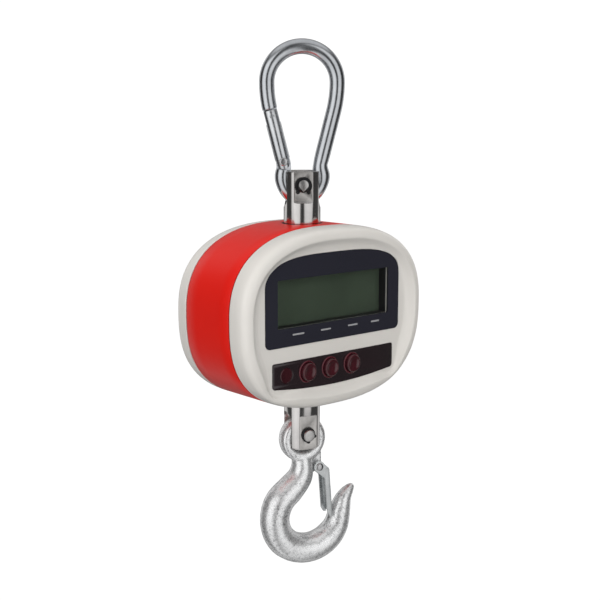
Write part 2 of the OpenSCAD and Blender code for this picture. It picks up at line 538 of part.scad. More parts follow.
module latch() {
    color([0.80, 0.80, 0.78]) at_latch() difference() {
        union() {
            for (s = [-1, 1]) xz(s > 0 ? 4.9 : -6.2, 1.3) union() {
                circle(r = 4.1);
                polygon([[-2.6, -3.1], [3.9, -9.6], [3.9, -35], [5.6, -latch_len], [7.5, -latch_len], [7.5, -3], [3.7, 1.7]]);
            }
            box([6.2, -6.2, -36], [7.5, 6.2, -3]);
        }
        cyl_y(0, 0, 2.05, -8, 8);
    }
}
module latch_rivet() {
    color([0.66, 0.66, 0.66]) at_latch() rotate([90, 0, 0]) rotate_extrude()
        polygon([[0, -7.5], [1.4, -7.4], [2.5, -7.0], [2.9, -6.3], [2.0, -6.3], [2.0, 6.3], [2.9, 6.3], [2.5, 7.0], [1.4, 7.4], [0, 7.5]]);
}
module latch_spring() {
    color([0.40, 0.40, 0.42]) at_latch() {
        for (s = [-1, 1]) translate([0, s > 0 ? 2.4 : -4.6, 0]) rotate([-90, 0, 0]) coil(2.6, 0.3, 2.2, 2);
    }
}

carabiner_bow();
gate_rivet();
gate();
gate_pin();
gate_plunger();
gate_spring();
upper_clevis();
upper_pin();
upper_circlips();
upper_thrust_washer();
upper_nut();
upper_split_pin();
upper_bush();
upper_seal();
front_cover();
middle_band();
rear_cover();
front_gasket();
rear_gasket();
lens_panel();
lcd_glass();
lcd_frame();
lcd_backlight();
keypad_panel();
status_window();
button_left();
button_middle();
button_right();
key_switches();
main_board();
board_parts();
buzzer();
board_screws();
load_cell();
gauge_covers();
load_cell_brackets();
bracket_screws();
cover_screws();
battery_box();
battery_cells();
battery_contacts();
battery_door();
lower_clevis();
lower_pin();
lower_circlips();
lower_thrust_washer();
lower_nut();
lower_split_pin();
lower_bush();
lower_seal();
hook();
latch();
latch_rivet();
latch_spring();
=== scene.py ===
import math

import bmesh
import bpy
from mathutils import Matrix, Vector, noise
from mathutils.geometry import tessellate_polygon


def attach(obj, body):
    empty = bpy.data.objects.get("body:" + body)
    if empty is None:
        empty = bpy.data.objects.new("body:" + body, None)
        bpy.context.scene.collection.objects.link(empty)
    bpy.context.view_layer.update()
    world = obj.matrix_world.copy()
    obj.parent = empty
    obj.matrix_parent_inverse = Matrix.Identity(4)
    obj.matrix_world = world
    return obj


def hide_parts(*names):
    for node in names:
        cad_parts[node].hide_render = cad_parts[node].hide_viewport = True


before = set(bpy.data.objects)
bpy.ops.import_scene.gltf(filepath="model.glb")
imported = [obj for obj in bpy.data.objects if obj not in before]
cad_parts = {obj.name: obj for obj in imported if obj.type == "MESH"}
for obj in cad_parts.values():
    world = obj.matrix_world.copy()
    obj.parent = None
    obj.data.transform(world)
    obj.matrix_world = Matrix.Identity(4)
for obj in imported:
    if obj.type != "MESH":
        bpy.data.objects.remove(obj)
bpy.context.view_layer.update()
MM = 0.001

scene = bpy.context.scene
scene.view_settings.view_transform = "Standard"
scene.view_settings.look = "None"
scene.view_settings.exposure = 0.0
scene.view_settings.gamma = 1.0

# ------------------------------------------------------------------ numbers (mm, row frame)
WR = 5.2
Z_UP = -88.1
Z_LP = -263.4
UP_END = -78.2
LO_END = -273.8
BR = 12.75
PR = 4.25
ZC = -172.4
BODY_A, BODY_T, BODY_B = 82.5, 58.4, 64.4
EXP_T, EXP_B = 2.5, 2.6
BAND_Y = 23.0
FACE_Y, BACK_Y = 34.0, 38.0
WALL = 3.0
KEYS = (-25.0, -4.7, 15.6)
KEY_Z = -209.8
LCD_A, LCD_Z0, LCD_Z1 = 50.7, -178.3, -146.1
UP = Matrix.Rotation(math.radians(-36.0), 4, "Z")
LO = Matrix.Rotation(math.radians(-17.0), 4, "Z")
ID = Matrix.Identity(4)


def T(x, y, z):
    return Matrix.Translation((x, y, z))


def R(deg, ax):
    return Matrix.Rotation(math.radians(deg), 4, ax)


# ------------------------------------------------------------------ mesh helpers
def raw_mesh(name, verts, faces, xf=ID):
    me = bpy.data.meshes.new(name)
    me.from_pydata([tuple((xf @ Vector(v)) * MM) for v in verts], [], faces)
    me.validate()
    return me


def raw_obj(name, verts, faces, xf=ID):
    o = bpy.data.objects.new(name, raw_mesh(name, verts, faces, xf))
    scene.collection.objects.link(o)
    fix_normals(o)
    return o


def fix_normals(o):
    bm = bmesh.new()
    bm.from_mesh(o.data)
    bmesh.ops.recalc_face_normals(bm, faces=bm.faces)
    bm.to_mesh(o.data)
    bm.free()


def baked(o):
    dg = bpy.context.evaluated_depsgraph_get()
    dg.update()
    me = bpy.data.meshes.new_from_object(o.evaluated_get(dg))
    old = o.data
    o.modifiers.clear()
    o.data = me
    bpy.data.meshes.remove(old)
    return o


def cut(o, *cutters, op="DIFFERENCE"):
    for c in cutters:
        m = o.modifiers.new("b", "BOOLEAN")
        m.operation = op
        m.solver = "EXACT"
        m.object = c
        baked(o)
        bpy.data.objects.remove(c, do_unlink=True)
    return o


def bevel(o, w, seg=2, ang=32):
    m = o.modifiers.new("v", "BEVEL")
    m.width = w * MM
    m.segments = seg
    m.limit_method = "ANGLE"
    m.angle_limit = math.radians(ang)
    m.use_clamp_overlap = True
    m.harden_normals = False
    m.miter_outer = "MITER_ARC"
    return baked(o)


def merge(o, dist=0.0005):
    bm = bmesh.new()
    bm.from_mesh(o.data)
    bmesh.ops.remove_doubles(bm, verts=bm.verts, dist=dist * MM)
    bmesh.ops.dissolve_degenerate(bm, edges=bm.edges, dist=dist * MM)
    bm.to_mesh(o.data)
    bm.free()
    return o


def join(objs, name):
    bm = bmesh.new()
    for o in objs:
        bm.from_mesh(o.data)
        bpy.data.objects.remove(o, do_unlink=True)
    me = bpy.data.meshes.new(name)
    bm.to_mesh(me)
    bm.free()
    o = bpy.data.objects.new(name, me)
    scene.collection.objects.link(o)
    return o


FLAT_FACED = ("rear_shell", "battery_lid", "front_shell", "lens_border", "display_bezel")


def finish(o, name, body, nodes, mats, angle=34):
    """names the piece, shades it, gives it its materials and puts it on its body"""
    o.name = name
    o.data.name = name
    me = o.data
    me.polygons.foreach_set("use_smooth", [True] * len(me.polygons))
    me.set_sharp_from_angle(angle=math.radians(angle))
    if name in FLAT_FACED:
        # large flat faces keep their own normal, so no shading runs in from the rounded edges
        wn = o.modifiers.new("wn", "WEIGHTED_NORMAL")
        wn.mode = "FACE_AREA"
        wn.weight = 50
        wn.keep_sharp = True
        new = bpy.data.meshes.new_from_object(o.evaluated_get(bpy.context.evaluated_depsgraph_get()))
        o.modifiers.clear()
        o.data = new
        me = new
        me.name = name
    if not isinstance(mats, (list, tuple)):
        mats = [mats]
    me.materials.clear()
    for m in mats:
        me.materials.append(m)
    me.update()
    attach(o, body)
    if nodes:
        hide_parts(*nodes)
    return o


def lathe(name, prof, xf=ID, n=96):
    """profile of (radius, height) turned about local Z"""
    verts, faces, rows = [], [], []
    for r, h in prof:
        if r < 1e-6:
            rows.append([len(verts)])
            verts.append((0, 0, h))
        else:
            rows.append(list(range(len(verts), len(verts) + n)))
            verts += [(r * math.cos(2 * math.pi * i / n), r * math.sin(2 * math.pi * i / n), h) for i in range(n)]
    for a, b in zip(rows[:-1], rows[1:]):
        if len(a) == 1 and len(b) == 1:
            continue
        for i in range(n):
            k = (i + 1) % n
            if len(a) == 1:
                faces.append((a[0], b[i], b[k]))
            elif len(b) == 1:
                faces.append((a[i], b[0], a[k]))
            else:
                faces.append((a[i], b[i], b[k], a[k]))
    if len(rows[0]) > 1 and len(rows[-1]) > 1 and prof[0] == prof[-1]:
        pass
    return raw_obj(name, verts, faces, xf)


def rounded(pts, r, seg=4, closed=True):
    """rounds the corners of a polyline; r is one radius or one per point"""
    out = []
    n = len(pts)
    for i in range(n):
        p = Vector(pts[i][:2])
        rr = r[i] if isinstance(r, (list, tuple)) else r
        if not closed and i in (0, n - 1):
            out.append(tuple(p))
            continue
        a, b = Vector(pts[i - 1][:2]), Vector(pts[(i + 1) % n][:2])
        u, v = (a - p), (b - p)
        if u.length < 1e-9 or v.length < 1e-9 or rr <= 0:
            out.append(tuple(p))
            continue
        ang = u.angle(v)
        if ang > math.pi - 0.02:
            out.append(tuple(p))
            continue
        t = min(rr / math.tan(ang / 2), u.length * 0.49, v.length * 0.49)
        q = t * math.tan(ang / 2)
        c = p + (u.normalized() + v.normalized()).normalized() * (q / math.sin(ang / 2))
        s, e = p + u.normalized() * t, p + v.normalized() * t
        a0 = math.atan2(s.y - c.y, s.x - c.x)
        a1 = math.atan2(e.y - c.y, e.x - c.x)
        d = (a1 - a0 + math.pi) % (2 * math.pi) - math.pi
        for j in range(seg + 1):
            w = a0 + d * j / seg
            out.append((c.x + q * math.cos(w), c.y + q * math.sin(w)))
    return out


def prism_y(name, poly, y0, y1, xf=ID, holes=()):
    """closed prism of an outline in the XZ plane, from y0 to y1, with holes right through"""
    loops = [list(poly)] + [list(h) for h in holes]
    verts, faces, off = [], [], []
    for lp in loops:
        off.append(len(verts))
        verts += [(x, y0, z) for x, z in lp]
    flat = [Vector((x, z, 0)) for lp in loops for x, z in lp]
    tri = tessellate_polygon([[Vector((x, z, 0)) for x, z in lp] for lp in loops])
    n = len(verts)
    verts += [(x, y1, z) for lp in loops for x, z in lp]
    if len(loops) == 1:
        faces.append(tuple(range(n)))
        faces.append(tuple(range(2 * n - 1, n - 1, -1)))
    else:
        for t in tri:
            faces.append(tuple(t))
            faces.append(tuple(i + n for i in reversed(t)))
    for k, lp in enumerate(loops):
        m = len(lp)
        for i in range(m):
            j = (i + 1) % m
            faces.append((off[k] + i, off[k] + j, off[k] + j + n, off[k] + i + n))
    return raw_obj(name, verts, faces, xf)


def box_obj(name, a, b, xf=ID):
    (x0, y0, z0), (x1, y1, z1) = a, b
    v = [(x, y, z) for x in (x0, x1) for y in (y0, y1) for z in (z0, z1)]
    f = [(0, 1, 3, 2), (4, 6, 7, 5), (0, 4, 5, 1), (2, 3, 7, 6), (0, 2, 6, 4), (1, 5, 7, 3)]
    return raw_obj(name, v, f, xf)


def cyl_y(name, x, z, r, y0, y1, xf=ID, n=64):
    return prism_y(name, [(x + r * math.cos(2 * math.pi * i / n), z + r * math.sin(2 * math.pi * i / n)) for i in range(n)], y0, y1, xf)


def sweep(name, rings, caps=(True, True), xf=ID, closed=False):
    """rings: lists of 3-D points, all the same length"""
    n = len(rings[0])
    verts = [p for r in rings for p in r]
    faces = []
    m = len(rings)
    for j in range(m if closed else m - 1):
        q = (j + 1) % m
        for i in range(n):
            k = (i + 1) % n
            faces.append((j * n + i, j * n + k, q * n + k, q * n + i))
    if not closed:
        if caps[0]:
            faces.append(tuple(range(n - 1, -1, -1)))
        if caps[1]:
            faces.append(tuple((m - 1) * n + i for i in range(n)))
    return raw_obj(name, verts, faces, xf)


def plane_rings(path, n=48, sx=None):
    """round rings along a path (x, z, r) lying in the XZ plane; a 4th value is the half depth along Y"""
    rings = []
    m = len(path)
    for j, p in enumerate(path):
        a, b = path[max(j - 1, 0)], path[min(j + 1, m - 1)]
        dx, dz = b[0] - a[0], b[1] - a[1]
        ln = math.hypot(dx, dz)
        nx, nz = -dz / ln, dx / ln
        ry = p[3] if len(p) > 3 else p[2]
        rings.append([(p[0] + p[2] * math.cos(t) * nx, ry * math.sin(t), p[1] + p[2] * math.cos(t) * nz)
                      for t in (2 * math.pi * i / n for i in range(n))])
    return rings


def helix(name, r, w, h, turns, xf=ID, n=28, k=10, legs=()):
    """coil spring about local Z, with optional straight legs given as end points"""
    m = int(turns * n)
    pts = [(r * math.cos(2 * math.pi * j / n), r * math.sin(2 * math.pi * j / n), w + (h - 2 * w) * j / m) for j in range(m + 1)]
    if len(legs) > 0 and legs[0]:
        pts = [legs[0]] + pts
    if len(legs) > 1 and legs[1]:
        pts = pts + [legs[1]]
    return tube(name, pts, w, k, xf)


def tube(name, pts, w, k=10, xf=ID):
    pts = [Vector(p) for p in pts]
    rings = []
    up = Vector((0, 0, 1))
    t0 = (pts[1] - pts[0]).normalized()
    u = t0.cross(up)
    if u.length < 1e-3:
        u = t0.cross(Vector((1, 0, 0)))
    u.normalize()
    for i, p in enumerate(pts):
        t = (pts[min(i + 1, len(pts) - 1)] - pts[max(i - 1, 0)]).normalized()
        u = (u - t * u.dot(t)).normalized()
        v = t.cross(u)
        rings.append([tuple(p + (u * math.cos(a) + v * math.sin(a)) * w) for a in (2 * math.pi * j / k for j in range(k))])
    return sweep(name, rings, (True, True), xf)


# ------------------------------------------------------------------ materials
def new_mat(name):
    m = bpy.data.materials.new(name)
    m.use_nodes = True
    nt = m.node_tree
    bsdf = nt.nodes["Principled BSDF"]
    return m, nt, bsdf


def tex_coord(nt, scale=(1, 1, 1), rot=(0, 0, 0)):
    tc = nt.nodes.new("ShaderNodeTexCoord")
    mp = nt.nodes.new("ShaderNodeMapping")
    mp.inputs["Scale"].default_value = scale
    mp.inputs["Rotation"].default_value = rot
    nt.links.new(tc.outputs["Object"], mp.inputs["Vector"])
    return mp.outputs["Vector"]


def noise_node(nt, vec, scale, detail=4, rough=0.55, dist=0.0):
    n = nt.nodes.new("ShaderNodeTexNoise")
    n.inputs["Scale"].default_value = scale
    n.inputs["Detail"].default_value = detail
    n.inputs["Roughness"].default_value = rough
    n.inputs["Distortion"].default_value = dist
    nt.links.new(vec, n.inputs["Vector"])
    return n.outputs["Fac"]


def ramp(nt, fac, stops):
    r = nt.nodes.new("ShaderNodeValToRGB")
    els = r.color_ramp.elements
    while len(els) < len(stops):
        els.new(0.5)
    for e, (p, c) in zip(els, stops):
        e.position = p
        e.color = c if len(c) == 4 else (*c, 1)
    nt.links.new(fac, r.inputs["Fac"])
    return r.outputs["Color"]


def grey(v):
    return (v, v, v, 1)


def map_range(nt, fac, a, b):
    m = nt.nodes.new("ShaderNodeMapRange")
    m.inputs["From Min"].default_value = 0.25
    m.inputs["From Max"].default_value = 0.75
    m.inputs["To Min"].default_value = a
    m.inputs["To Max"].default_value = b
    nt.links.new(fac, m.inputs["Value"])
    return m.outputs["Result"]


def bump(nt, h, strength, dist, prev=None):
    b = nt.nodes.new("ShaderNodeBump")
    b.inputs["Strength"].default_value = strength
    b.inputs["Distance"].default_value = dist
    nt.links.new(h, b.inputs["Height"])
    if prev is not None:
        nt.links.new(prev, b.inputs["Normal"])
    return b.outputs["Normal"]


def metal(name, c0, c1, r0, r1, scale=90, bump_s=0.12, bump_d=0.00005, brush=None, fine=1400, metallic=1.0, aniso=0.0):
    """plated or machined metal: cloudy colour, cloudy gloss, fine bump and optional brushing lines"""
    m, nt, b = new_mat(name)
    v = tex_coord(nt)
    big = noise_node(nt, v, scale, 5, 0.6, 0.3)
    nt.links.new(ramp(nt, big, [(0.3, c0), (0.7, c1)]), b.inputs["Base Color"])
    small = noise_node(nt, v, fine, 3, 0.6)
    mix = nt.nodes.new("ShaderNodeMath")
    mix.operation = "ADD"
    half = nt.nodes.new("ShaderNodeMath")
    half.operation = "MULTIPLY"
    half.inputs[1].default_value = 0.35
    nt.links.new(small, half.inputs[0])
    sc = nt.nodes.new("ShaderNodeMath")
    sc.operation = "MULTIPLY"
    sc.inputs[1].default_value = 0.65
    nt.links.new(big, sc.inputs[0])
    nt.links.new(half.outputs[0], mix.inputs[0])
    nt.links.new(sc.outputs[0], mix.inputs[1])
    nt.links.new(map_range(nt, mix.outputs[0], r0, r1), b.inputs["Roughness"])
    nrm = bump(nt, small, bump_s, bump_d)
    if brush is not None:
        vb = tex_coord(nt, brush)
        lines = noise_node(nt, vb, 1.0, 3, 0.7)
        nrm = bump(nt, lines, bump_s * 1.5, bump_d, nrm)
    nt.links.new(nrm, b.inputs["Normal"])
    b.inputs["Metallic"].default_value = metallic
    b.inputs["Anisotropic"].default_value = aniso
    return m


def plastic(name, c0, c1, r0, r1, grain=2600, bump_s=0.08, bump_d=0.00004, scale=25, coat=0.0, coat_r=0.1, ior=1.47, sub=0.0):
    """moulded plastic or lacquer: faint cloudiness, fine texture, slight gloss change"""
    m, nt, b = new_mat(name)
    v = tex_coord(nt)
    big = noise_node(nt, v, scale, 4, 0.5)
    nt.links.new(ramp(nt, big, [(0.3, c0), (0.7, c1)]), b.inputs["Base Color"])
    fine = noise_node(nt, v, grain, 2, 0.5)
    nt.links.new(map_range(nt, noise_node(nt, v, 140, 4, 0.6), r0, r1), b.inputs["Roughness"])
    nrm = bump(nt, fine, bump_s, bump_d)
    nt.links.new(nrm, b.inputs["Normal"])
    b.inputs["IOR"].default_value = ior
    b.inputs["Coat Weight"].default_value = coat
    b.inputs["Coat Roughness"].default_value = coat_r
    if sub > 0:
        b.inputs["Subsurface Weight"].default_value = sub
        b.inputs["Subsurface Radius"].default_value = (0.004, 0.001, 0.001)
        b.inputs["Subsurface Scale"].default_value = 0.5
    return m


M = {}
M["zinc"] = metal("bright_zinc", (0.54, 0.56, 0.59), (0.72, 0.74, 0.77), 0.15, 0.27, 60, 0.10, 0.00004, fine=900)
M["gate"] = metal("gate_zinc", (0.60, 0.62, 0.65), (0.80, 0.82, 0.84), 0.16, 0.30, 75, 0.14, 0.00005, fine=800)
M["rivet"] = metal("rivet_steel", (0.50, 0.50, 0.51), (0.68, 0.68, 0.69), 0.18, 0.34, 160, 0.2, 0.00005)
M["nickel"] = metal("turned_nickel", (0.60, 0.58, 0.57), (0.74, 0.72, 0.71), 0.10, 0.17, 45, 0.05, 0.00003, brush=(60, 60, 5200), fine=1800)
M["milled"] = metal("milled_face", (0.55, 0.53, 0.51), (0.72, 0.70, 0.68), 0.26, 0.42, 260, 0.35, 0.00006, brush=(500, 500, 2600), fine=1500)
M["pin"] = metal("pin_end", (0.50, 0.49, 0.48), (0.70, 0.69, 0.68), 0.25, 0.42, 420, 0.5, 0.00007, fine=1600)
M["black_ox"] = metal("black_oxide", (0.012, 0.012, 0.013), (0.03, 0.03, 0.032), 0.28, 0.45, 300, 0.25, 0.00004, metallic=0.6)
M["spring"] = metal("spring_wire", (0.22, 0.22, 0.24), (0.34, 0.34, 0.36), 0.25, 0.4, 300, 0.1)
M["steel"] = metal("plain_steel", (0.42, 0.42, 0.44), (0.58, 0.58, 0.60), 0.25, 0.42, 120, 0.2, brush=(90, 90, 2200))
M["dark_steel"] = metal("dark_screw", (0.10, 0.10, 0.11), (0.18, 0.18, 0.19), 0.3, 0.45, 300, 0.2)
M["nut"] = metal("yellow_zinc_nut", (0.42, 0.38, 0.26), (0.56, 0.52, 0.38), 0.28, 0.42, 200, 0.2)
M["bronze"] = metal("bronze_bush", (0.42, 0.28, 0.10), (0.56, 0.38, 0.16), 0.28, 0.42, 180, 0.2, brush=(60, 60, 3000))
M["alu"] = metal("milled_aluminium", (0.58, 0.59, 0.61), (0.70, 0.71, 0.73), 0.28, 0.42, 90, 0.25, brush=(1800, 60, 60))
M["contact"] = metal("contact_plate", (0.62, 0.55, 0.36), (0.76, 0.70, 0.50), 0.22, 0.35, 200, 0.1)
M["white"] = plastic("grey_white_shell", (0.665, 0.640, 0.600), (0.700, 0.675, 0.637), 0.30, 0.40, 2200, 0.10, 0.00003, 18)
M["door"] = plastic("door_shell", (0.655, 0.630, 0.590), (0.690, 0.665, 0.627), 0.34, 0.44, 1800, 0.14, 0.00003, 22)
M["red"] = plastic("red_lacquer", (0.69, 0.0095, 0.0045), (0.73, 0.012, 0.0055), 0.34, 0.40, 1900, 0.05, 0.00002, 14, coat=0.0, coat_r=0.2)
M["red"].node_tree.nodes["Principled BSDF"].inputs["Specular IOR Level"].default_value = 0.36
M["rubber"] = plastic("black_rubber", (0.010, 0.010, 0.010), (0.020, 0.020, 0.020), 0.55, 0.75, 1800, 0.3, 0.00004, 60)
M["lens"] = plastic("smoked_panel", (0.0215, 0.0215, 0.0315), (0.0245, 0.0245, 0.036), 0.05, 0.09, 500, 0.01, 0.00001, 10, coat=0.5, coat_r=0.03, ior=1.5)
M["key"] = plastic("key_panel", (0.019, 0.012, 0.014), (0.027, 0.016, 0.019), 0.10, 0.16, 700, 0.03, 0.00002, 30, coat=0.6, coat_r=0.05)
M["cap"] = plastic("key_cap", (0.038, 0.006, 0.009), (0.060, 0.008, 0.013), 0.12, 0.20, 900, 0.04, 0.00002, 120, coat=0.5, coat_r=0.08)
M["maroon"] = plastic("key_ring", (0.070, 0.010, 0.016), (0.10, 0.013, 0.021), 0.2, 0.3, 900, 0.04, 0.00002, 120, coat=0.3, coat_r=0.1)
M["status"] = plastic("status_window", (0.030, 0.004, 0.007), (0.045, 0.006, 0.010), 0.08, 0.12, 700, 0.02, 0.00002, 90, coat=0.8, coat_r=0.04)
M["frame_bk"] = plastic("display_frame", (0.010, 0.010, 0.011), (0.016, 0.016, 0.017), 0.35, 0.5, 1500, 0.15, 0.00003, 60)
M["lcd"] = plastic("display_glass", (0.084, 0.116, 0.078), (0.102, 0.138, 0.094), 0.10, 0.16, 800, 0.01, 0.00001, 22, coat=0.3, coat_r=0.05)
M["mark"] = plastic("printed_marks", (0.30, 0.30, 0.31), (0.36, 0.36, 0.37), 0.4, 0.5, 1500, 0.02, 0.00001, 200)
M["light_white"] = plastic("diffuser_white", (0.70, 0.70, 0.66), (0.76, 0.76, 0.72), 0.5, 0.6)
M["board"] = plastic("board_green", (0.010, 0.075, 0.030), (0.016, 0.11, 0.045), 0.25, 0.4, 1200, 0.1, 0.00004, 160, coat=0.4)
M["chip"] = plastic("chip_black", (0.014, 0.014, 0.015), (0.024, 0.024, 0.025), 0.4, 0.55, 1500, 0.2, 0.00004, 120)
M["tray"] = plastic("black_tray", (0.012, 0.012, 0.013), (0.02, 0.02, 0.021), 0.4, 0.55, 1500, 0.2, 0.00004, 50)
M["cell"] = plastic("cell_sleeve", (0.022, 0.07, 0.20), (0.030, 0.09, 0.25), 0.2, 0.3, 900, 0.05, 0.00003, 60, coat=0.5)


def hook_material():
    """hot-dip zinc over a shot-blasted forging: bright grains, grey hollows, pitted relief"""
    m, nt, b = new_mat("forged_galvanised")
    v = tex_coord(nt)
    big = noise_node(nt, v, 55, 4, 0.55, 0.3)
    mid = noise_node(nt, v, 620, 4, 0.7, 0.3)
    fine = noise_node(nt, v, 1500, 3, 0.65)
    add = nt.nodes.new("ShaderNodeMath")
    add.operation = "ADD"
    s1 = nt.nodes.new("ShaderNodeMath")
    s1.operation = "MULTIPLY"
    s1.inputs[1].default_value = 0.36
    s2 = nt.nodes.new("ShaderNodeMath")
    s2.operation = "MULTIPLY"
    s2.inputs[1].default_value = 0.70
    nt.links.new(big, s1.inputs[0])
    nt.links.new(mid, s2.inputs[0])
    nt.links.new(s1.outputs[0], add.inputs[0])
    nt.links.new(s2.outputs[0], add.inputs[1])
    nt.links.new(ramp(nt, add.outputs[0], [(0.37, (0.30, 0.305, 0.31)), (0.43, (0.64, 0.645, 0.65)), (0.52, (0.90, 0.905, 0.91)), (0.62, (0.97, 0.975, 0.98))]), b.inputs["Base Color"])
    nt.links.new(map_range(nt, mid, 0.22, 0.36), b.inputs["Roughness"])
    n1 = bump(nt, big, 0.25, 0.0006)
    n2 = bump(nt, mid, 0.40, 0.00014, n1)
    n3 = bump(nt, fine, 0.35, 0.00007, n2)
    nt.links.new(n3, b.inputs["Normal"])
    b.inputs["Metallic"].default_value = 0.72
    return m


M["hook"] = hook_material()
M["latch"] = metal("latch_sheet", (0.52, 0.54, 0.55), (0.74, 0.76, 0.76), 0.18, 0.36, 130, 0.25, 0.00006, brush=(300, 300, 700), fine=900)


def glass_pane():
    """clear cover over the display: mostly see-through, keeps its gloss"""
    m, nt, b = new_mat("clear_window")
    v = tex_coord(nt)
    n = noise_node(nt, v, 60, 3, 0.5)
    nt.links.new(ramp(nt, n, [(0.3, (0.010, 0.011, 0.013)), (0.7, (0.014, 0.015, 0.017))]), b.inputs["Base Color"])
    nt.links.new(map_range(nt, n, 0.02, 0.05), b.inputs["Roughness"])
    b.inputs["Alpha"].default_value = 0.16
    b.inputs["IOR"].default_value = 1.5
    return m


M["pane"] = glass_pane()

# ------------------------------------------------------------------ carabiner path
CR = 24.0
CZ0 = WR - CR
SIDE = 80.0
LEG = math.radians(14.2)
LEG_X = CR - SIDE * (1 - math.cos(LEG))
LEG_Z = CZ0 - SIDE * math.sin(LEG)
HZ = -72.0
HX = LEG_X - (LEG_Z - HZ) * math.tan(LEG)
NK_R, NK = 16.0, math.radians(12)
NK_X = HX - NK_R * (math.cos(NK) - math.cos(LEG))
NK_Z = HZ - NK_R * (math.sin(NK) + math.sin(LEG))
BT_R = WR + 4.9
BT_Z = Z_UP - PR - 0.05 + BT_R - WR
BZ = NK_Z - BT_Z
BL_R = (NK_X**2 + BZ**2 - BT_R**2) / (2 * (math.cos(NK) * NK_X + math.sin(NK) * BZ - BT_R))
BL_CX = NK_X - BL_R * math.cos(NK)
BL_CZ = NK_Z - BL_R * math.sin(NK)
BL_M = math.atan2(BL_CZ - BT_Z, BL_CX)
GATE_LEN = 35.8
NOSE = LEG - (GATE_LEN + 0.6 - (LEG_Z - HZ) / math.cos(LEG)) / SIDE
GATE = UP @ T(-HX, 0, HZ) @ Matrix.Rotation(-LEG, 4, "Y")


def arcp(cx, cz, r, a0, a1, step=2.0, first=False, rad=WR):
    n = max(2, int(abs(math.degrees(a1 - a0)) / step))
    return [(cx + r * math.cos(a0 + (a1 - a0) * i / n), cz + r * math.sin(a0 + (a1 - a0) * i / n), rad) for i in range(0 if first else 1, n + 1)]


def make_bow():
    pi = math.pi
    path = arcp(SIDE - CR, CZ0, SIDE, pi + NOSE, pi, 1.0, True)
    # eased edge where the wire ends at the nose
    x, z, _ = path[0]
    path = [(x + 0.35 * (path[1][0] - x) * 0, z, WR - 0.45)] + [(path[0][0] + (path[1][0] - path[0][0]) * 0.12, path[0][1] + (path[1][1] - path[0][1]) * 0.12, WR - 0.12),
            (path[0][0] + (path[1][0] - path[0][0]) * 0.3, path[0][1] + (path[1][1] - path[0][1]) * 0.3, WR)] + path[1:]
    path += arcp(0, CZ0, CR, pi, 0, 1.5)
    path += arcp(CR - SIDE, CZ0, SIDE, 0, -LEG, 1.0)
    for i in range(1, 9):
        t = i / 8
        path.append((LEG_X + (HX - LEG_X) * t, LEG_Z + (HZ - LEG_Z) * t, WR))
    path += arcp(HX + NK_R * math.cos(LEG), HZ - NK_R * math.sin(LEG), NK_R, pi - LEG, pi + NK, 3)
    path += arcp(BL_CX, BL_CZ, BL_R, NK, BL_M - pi, 3)
    path += arcp(0, BT_Z, BT_R, BL_M - pi, -BL_M, 4)
    path += arcp(-BL_CX, BL_CZ, BL_R, 2 * pi - BL_M, pi - NK, 3)
    stop = 5.7 / NK_R
    cx, cz = -HX - NK_R * math.cos(LEG), HZ - NK_R * math.sin(LEG)
    left = arcp(cx, cz, NK_R, -NK, LEG - stop, 2)
    path += left
    x, z, _ = path[-1]
    px, pz, _ = path[-2]
    ln = math.hypot(x - px, z - pz)
    ux, uz = (x - px) / ln, (z - pz) / ln
    path += [(x + ux * 0.2, z + uz * 0.2, WR - 0.12), (x + ux * 0.35, z + uz * 0.35, WR - 0.45)]
    fat = []
    for x, z, q in path:
        k = 0.0
        if z < -66:
            k = 0.75 * math.exp(-((z + 82.0) / 4.4) ** 2) - 0.30 * math.exp(-((z + 73.6) / 2.0) ** 2)
            if x < 0:
                k *= 0.5
            if abs(x) < 11.0:
                k = 0.0 if abs(x) < 8.5 else k * (abs(x) - 8.5) / 2.5
        fat.append((x, z, q + k))
    parts = [sweep("bow", plane_rings(fat, 64), (True, True), UP)]
    # flat hinge tab, following the neck, and its round end
    tab = []
    for i in range(13):
        a = -NK * 0.8 + (LEG + NK * 0.8) * i / 12
        r0, r1 = NK_R - 4.9, NK_R + 4.9
        tab.append((cx + r0 * math.cos(a), cz + r0 * math.sin(a), cx + r1 * math.cos(a), cz + r1 * math.sin(a)))
    outline = [(t[2], t[3]) for t in tab]
    for i in range(1, 24):
        w = -LEG * 0 + math.pi * i / 24
        # round end about the rivet, in the row's upper plane
        d = (math.cos(LEG), -math.sin(LEG))
        u = (-math.sin(LEG), math.cos(LEG))
        d = (math.cos(-LEG * -1), math.sin(-LEG * -1))
        u = (-math.sin(LEG), math.cos(LEG))
        outline.append((-HX + 4.9 * (math.cos(w) * d[0] + math.sin(w) * u[0]), HZ + 4.9 * (math.cos(w) * d[1] + math.sin(w) * u[1])))
    outline += [(t[0], t[1]) for t in reversed(tab)]
    parts.append(bevel(prism_y("tab", outline, -2.2, 2.2, UP), 0.35, 2, 50))
    # tongue of the nose with its hooked notch
    tongue = rounded([(-4.6, 38.0), (-4.6, 27.5), (4.6, 27.5), (4.6, 29.1), (0.3, 29.65), (-2.3, 30.1), (-2.5, 32.6), (-1.2, 33.4), (4.6, 33.4), (4.6, 38.0)],
                     [0, 1.2, 1.0, 0.5, 1.0, 1.3, 1.2, 0.8, 0.3, 0], 5)
    parts.append(bevel(prism_y("tongue", tongue, -1.9, 1.9, GATE), 0.3, 2, 50))
    return finish(join(parts, "bow"), "carabiner_wire", "carabiner", ["carabiner_bow"], M["zinc"], 40)


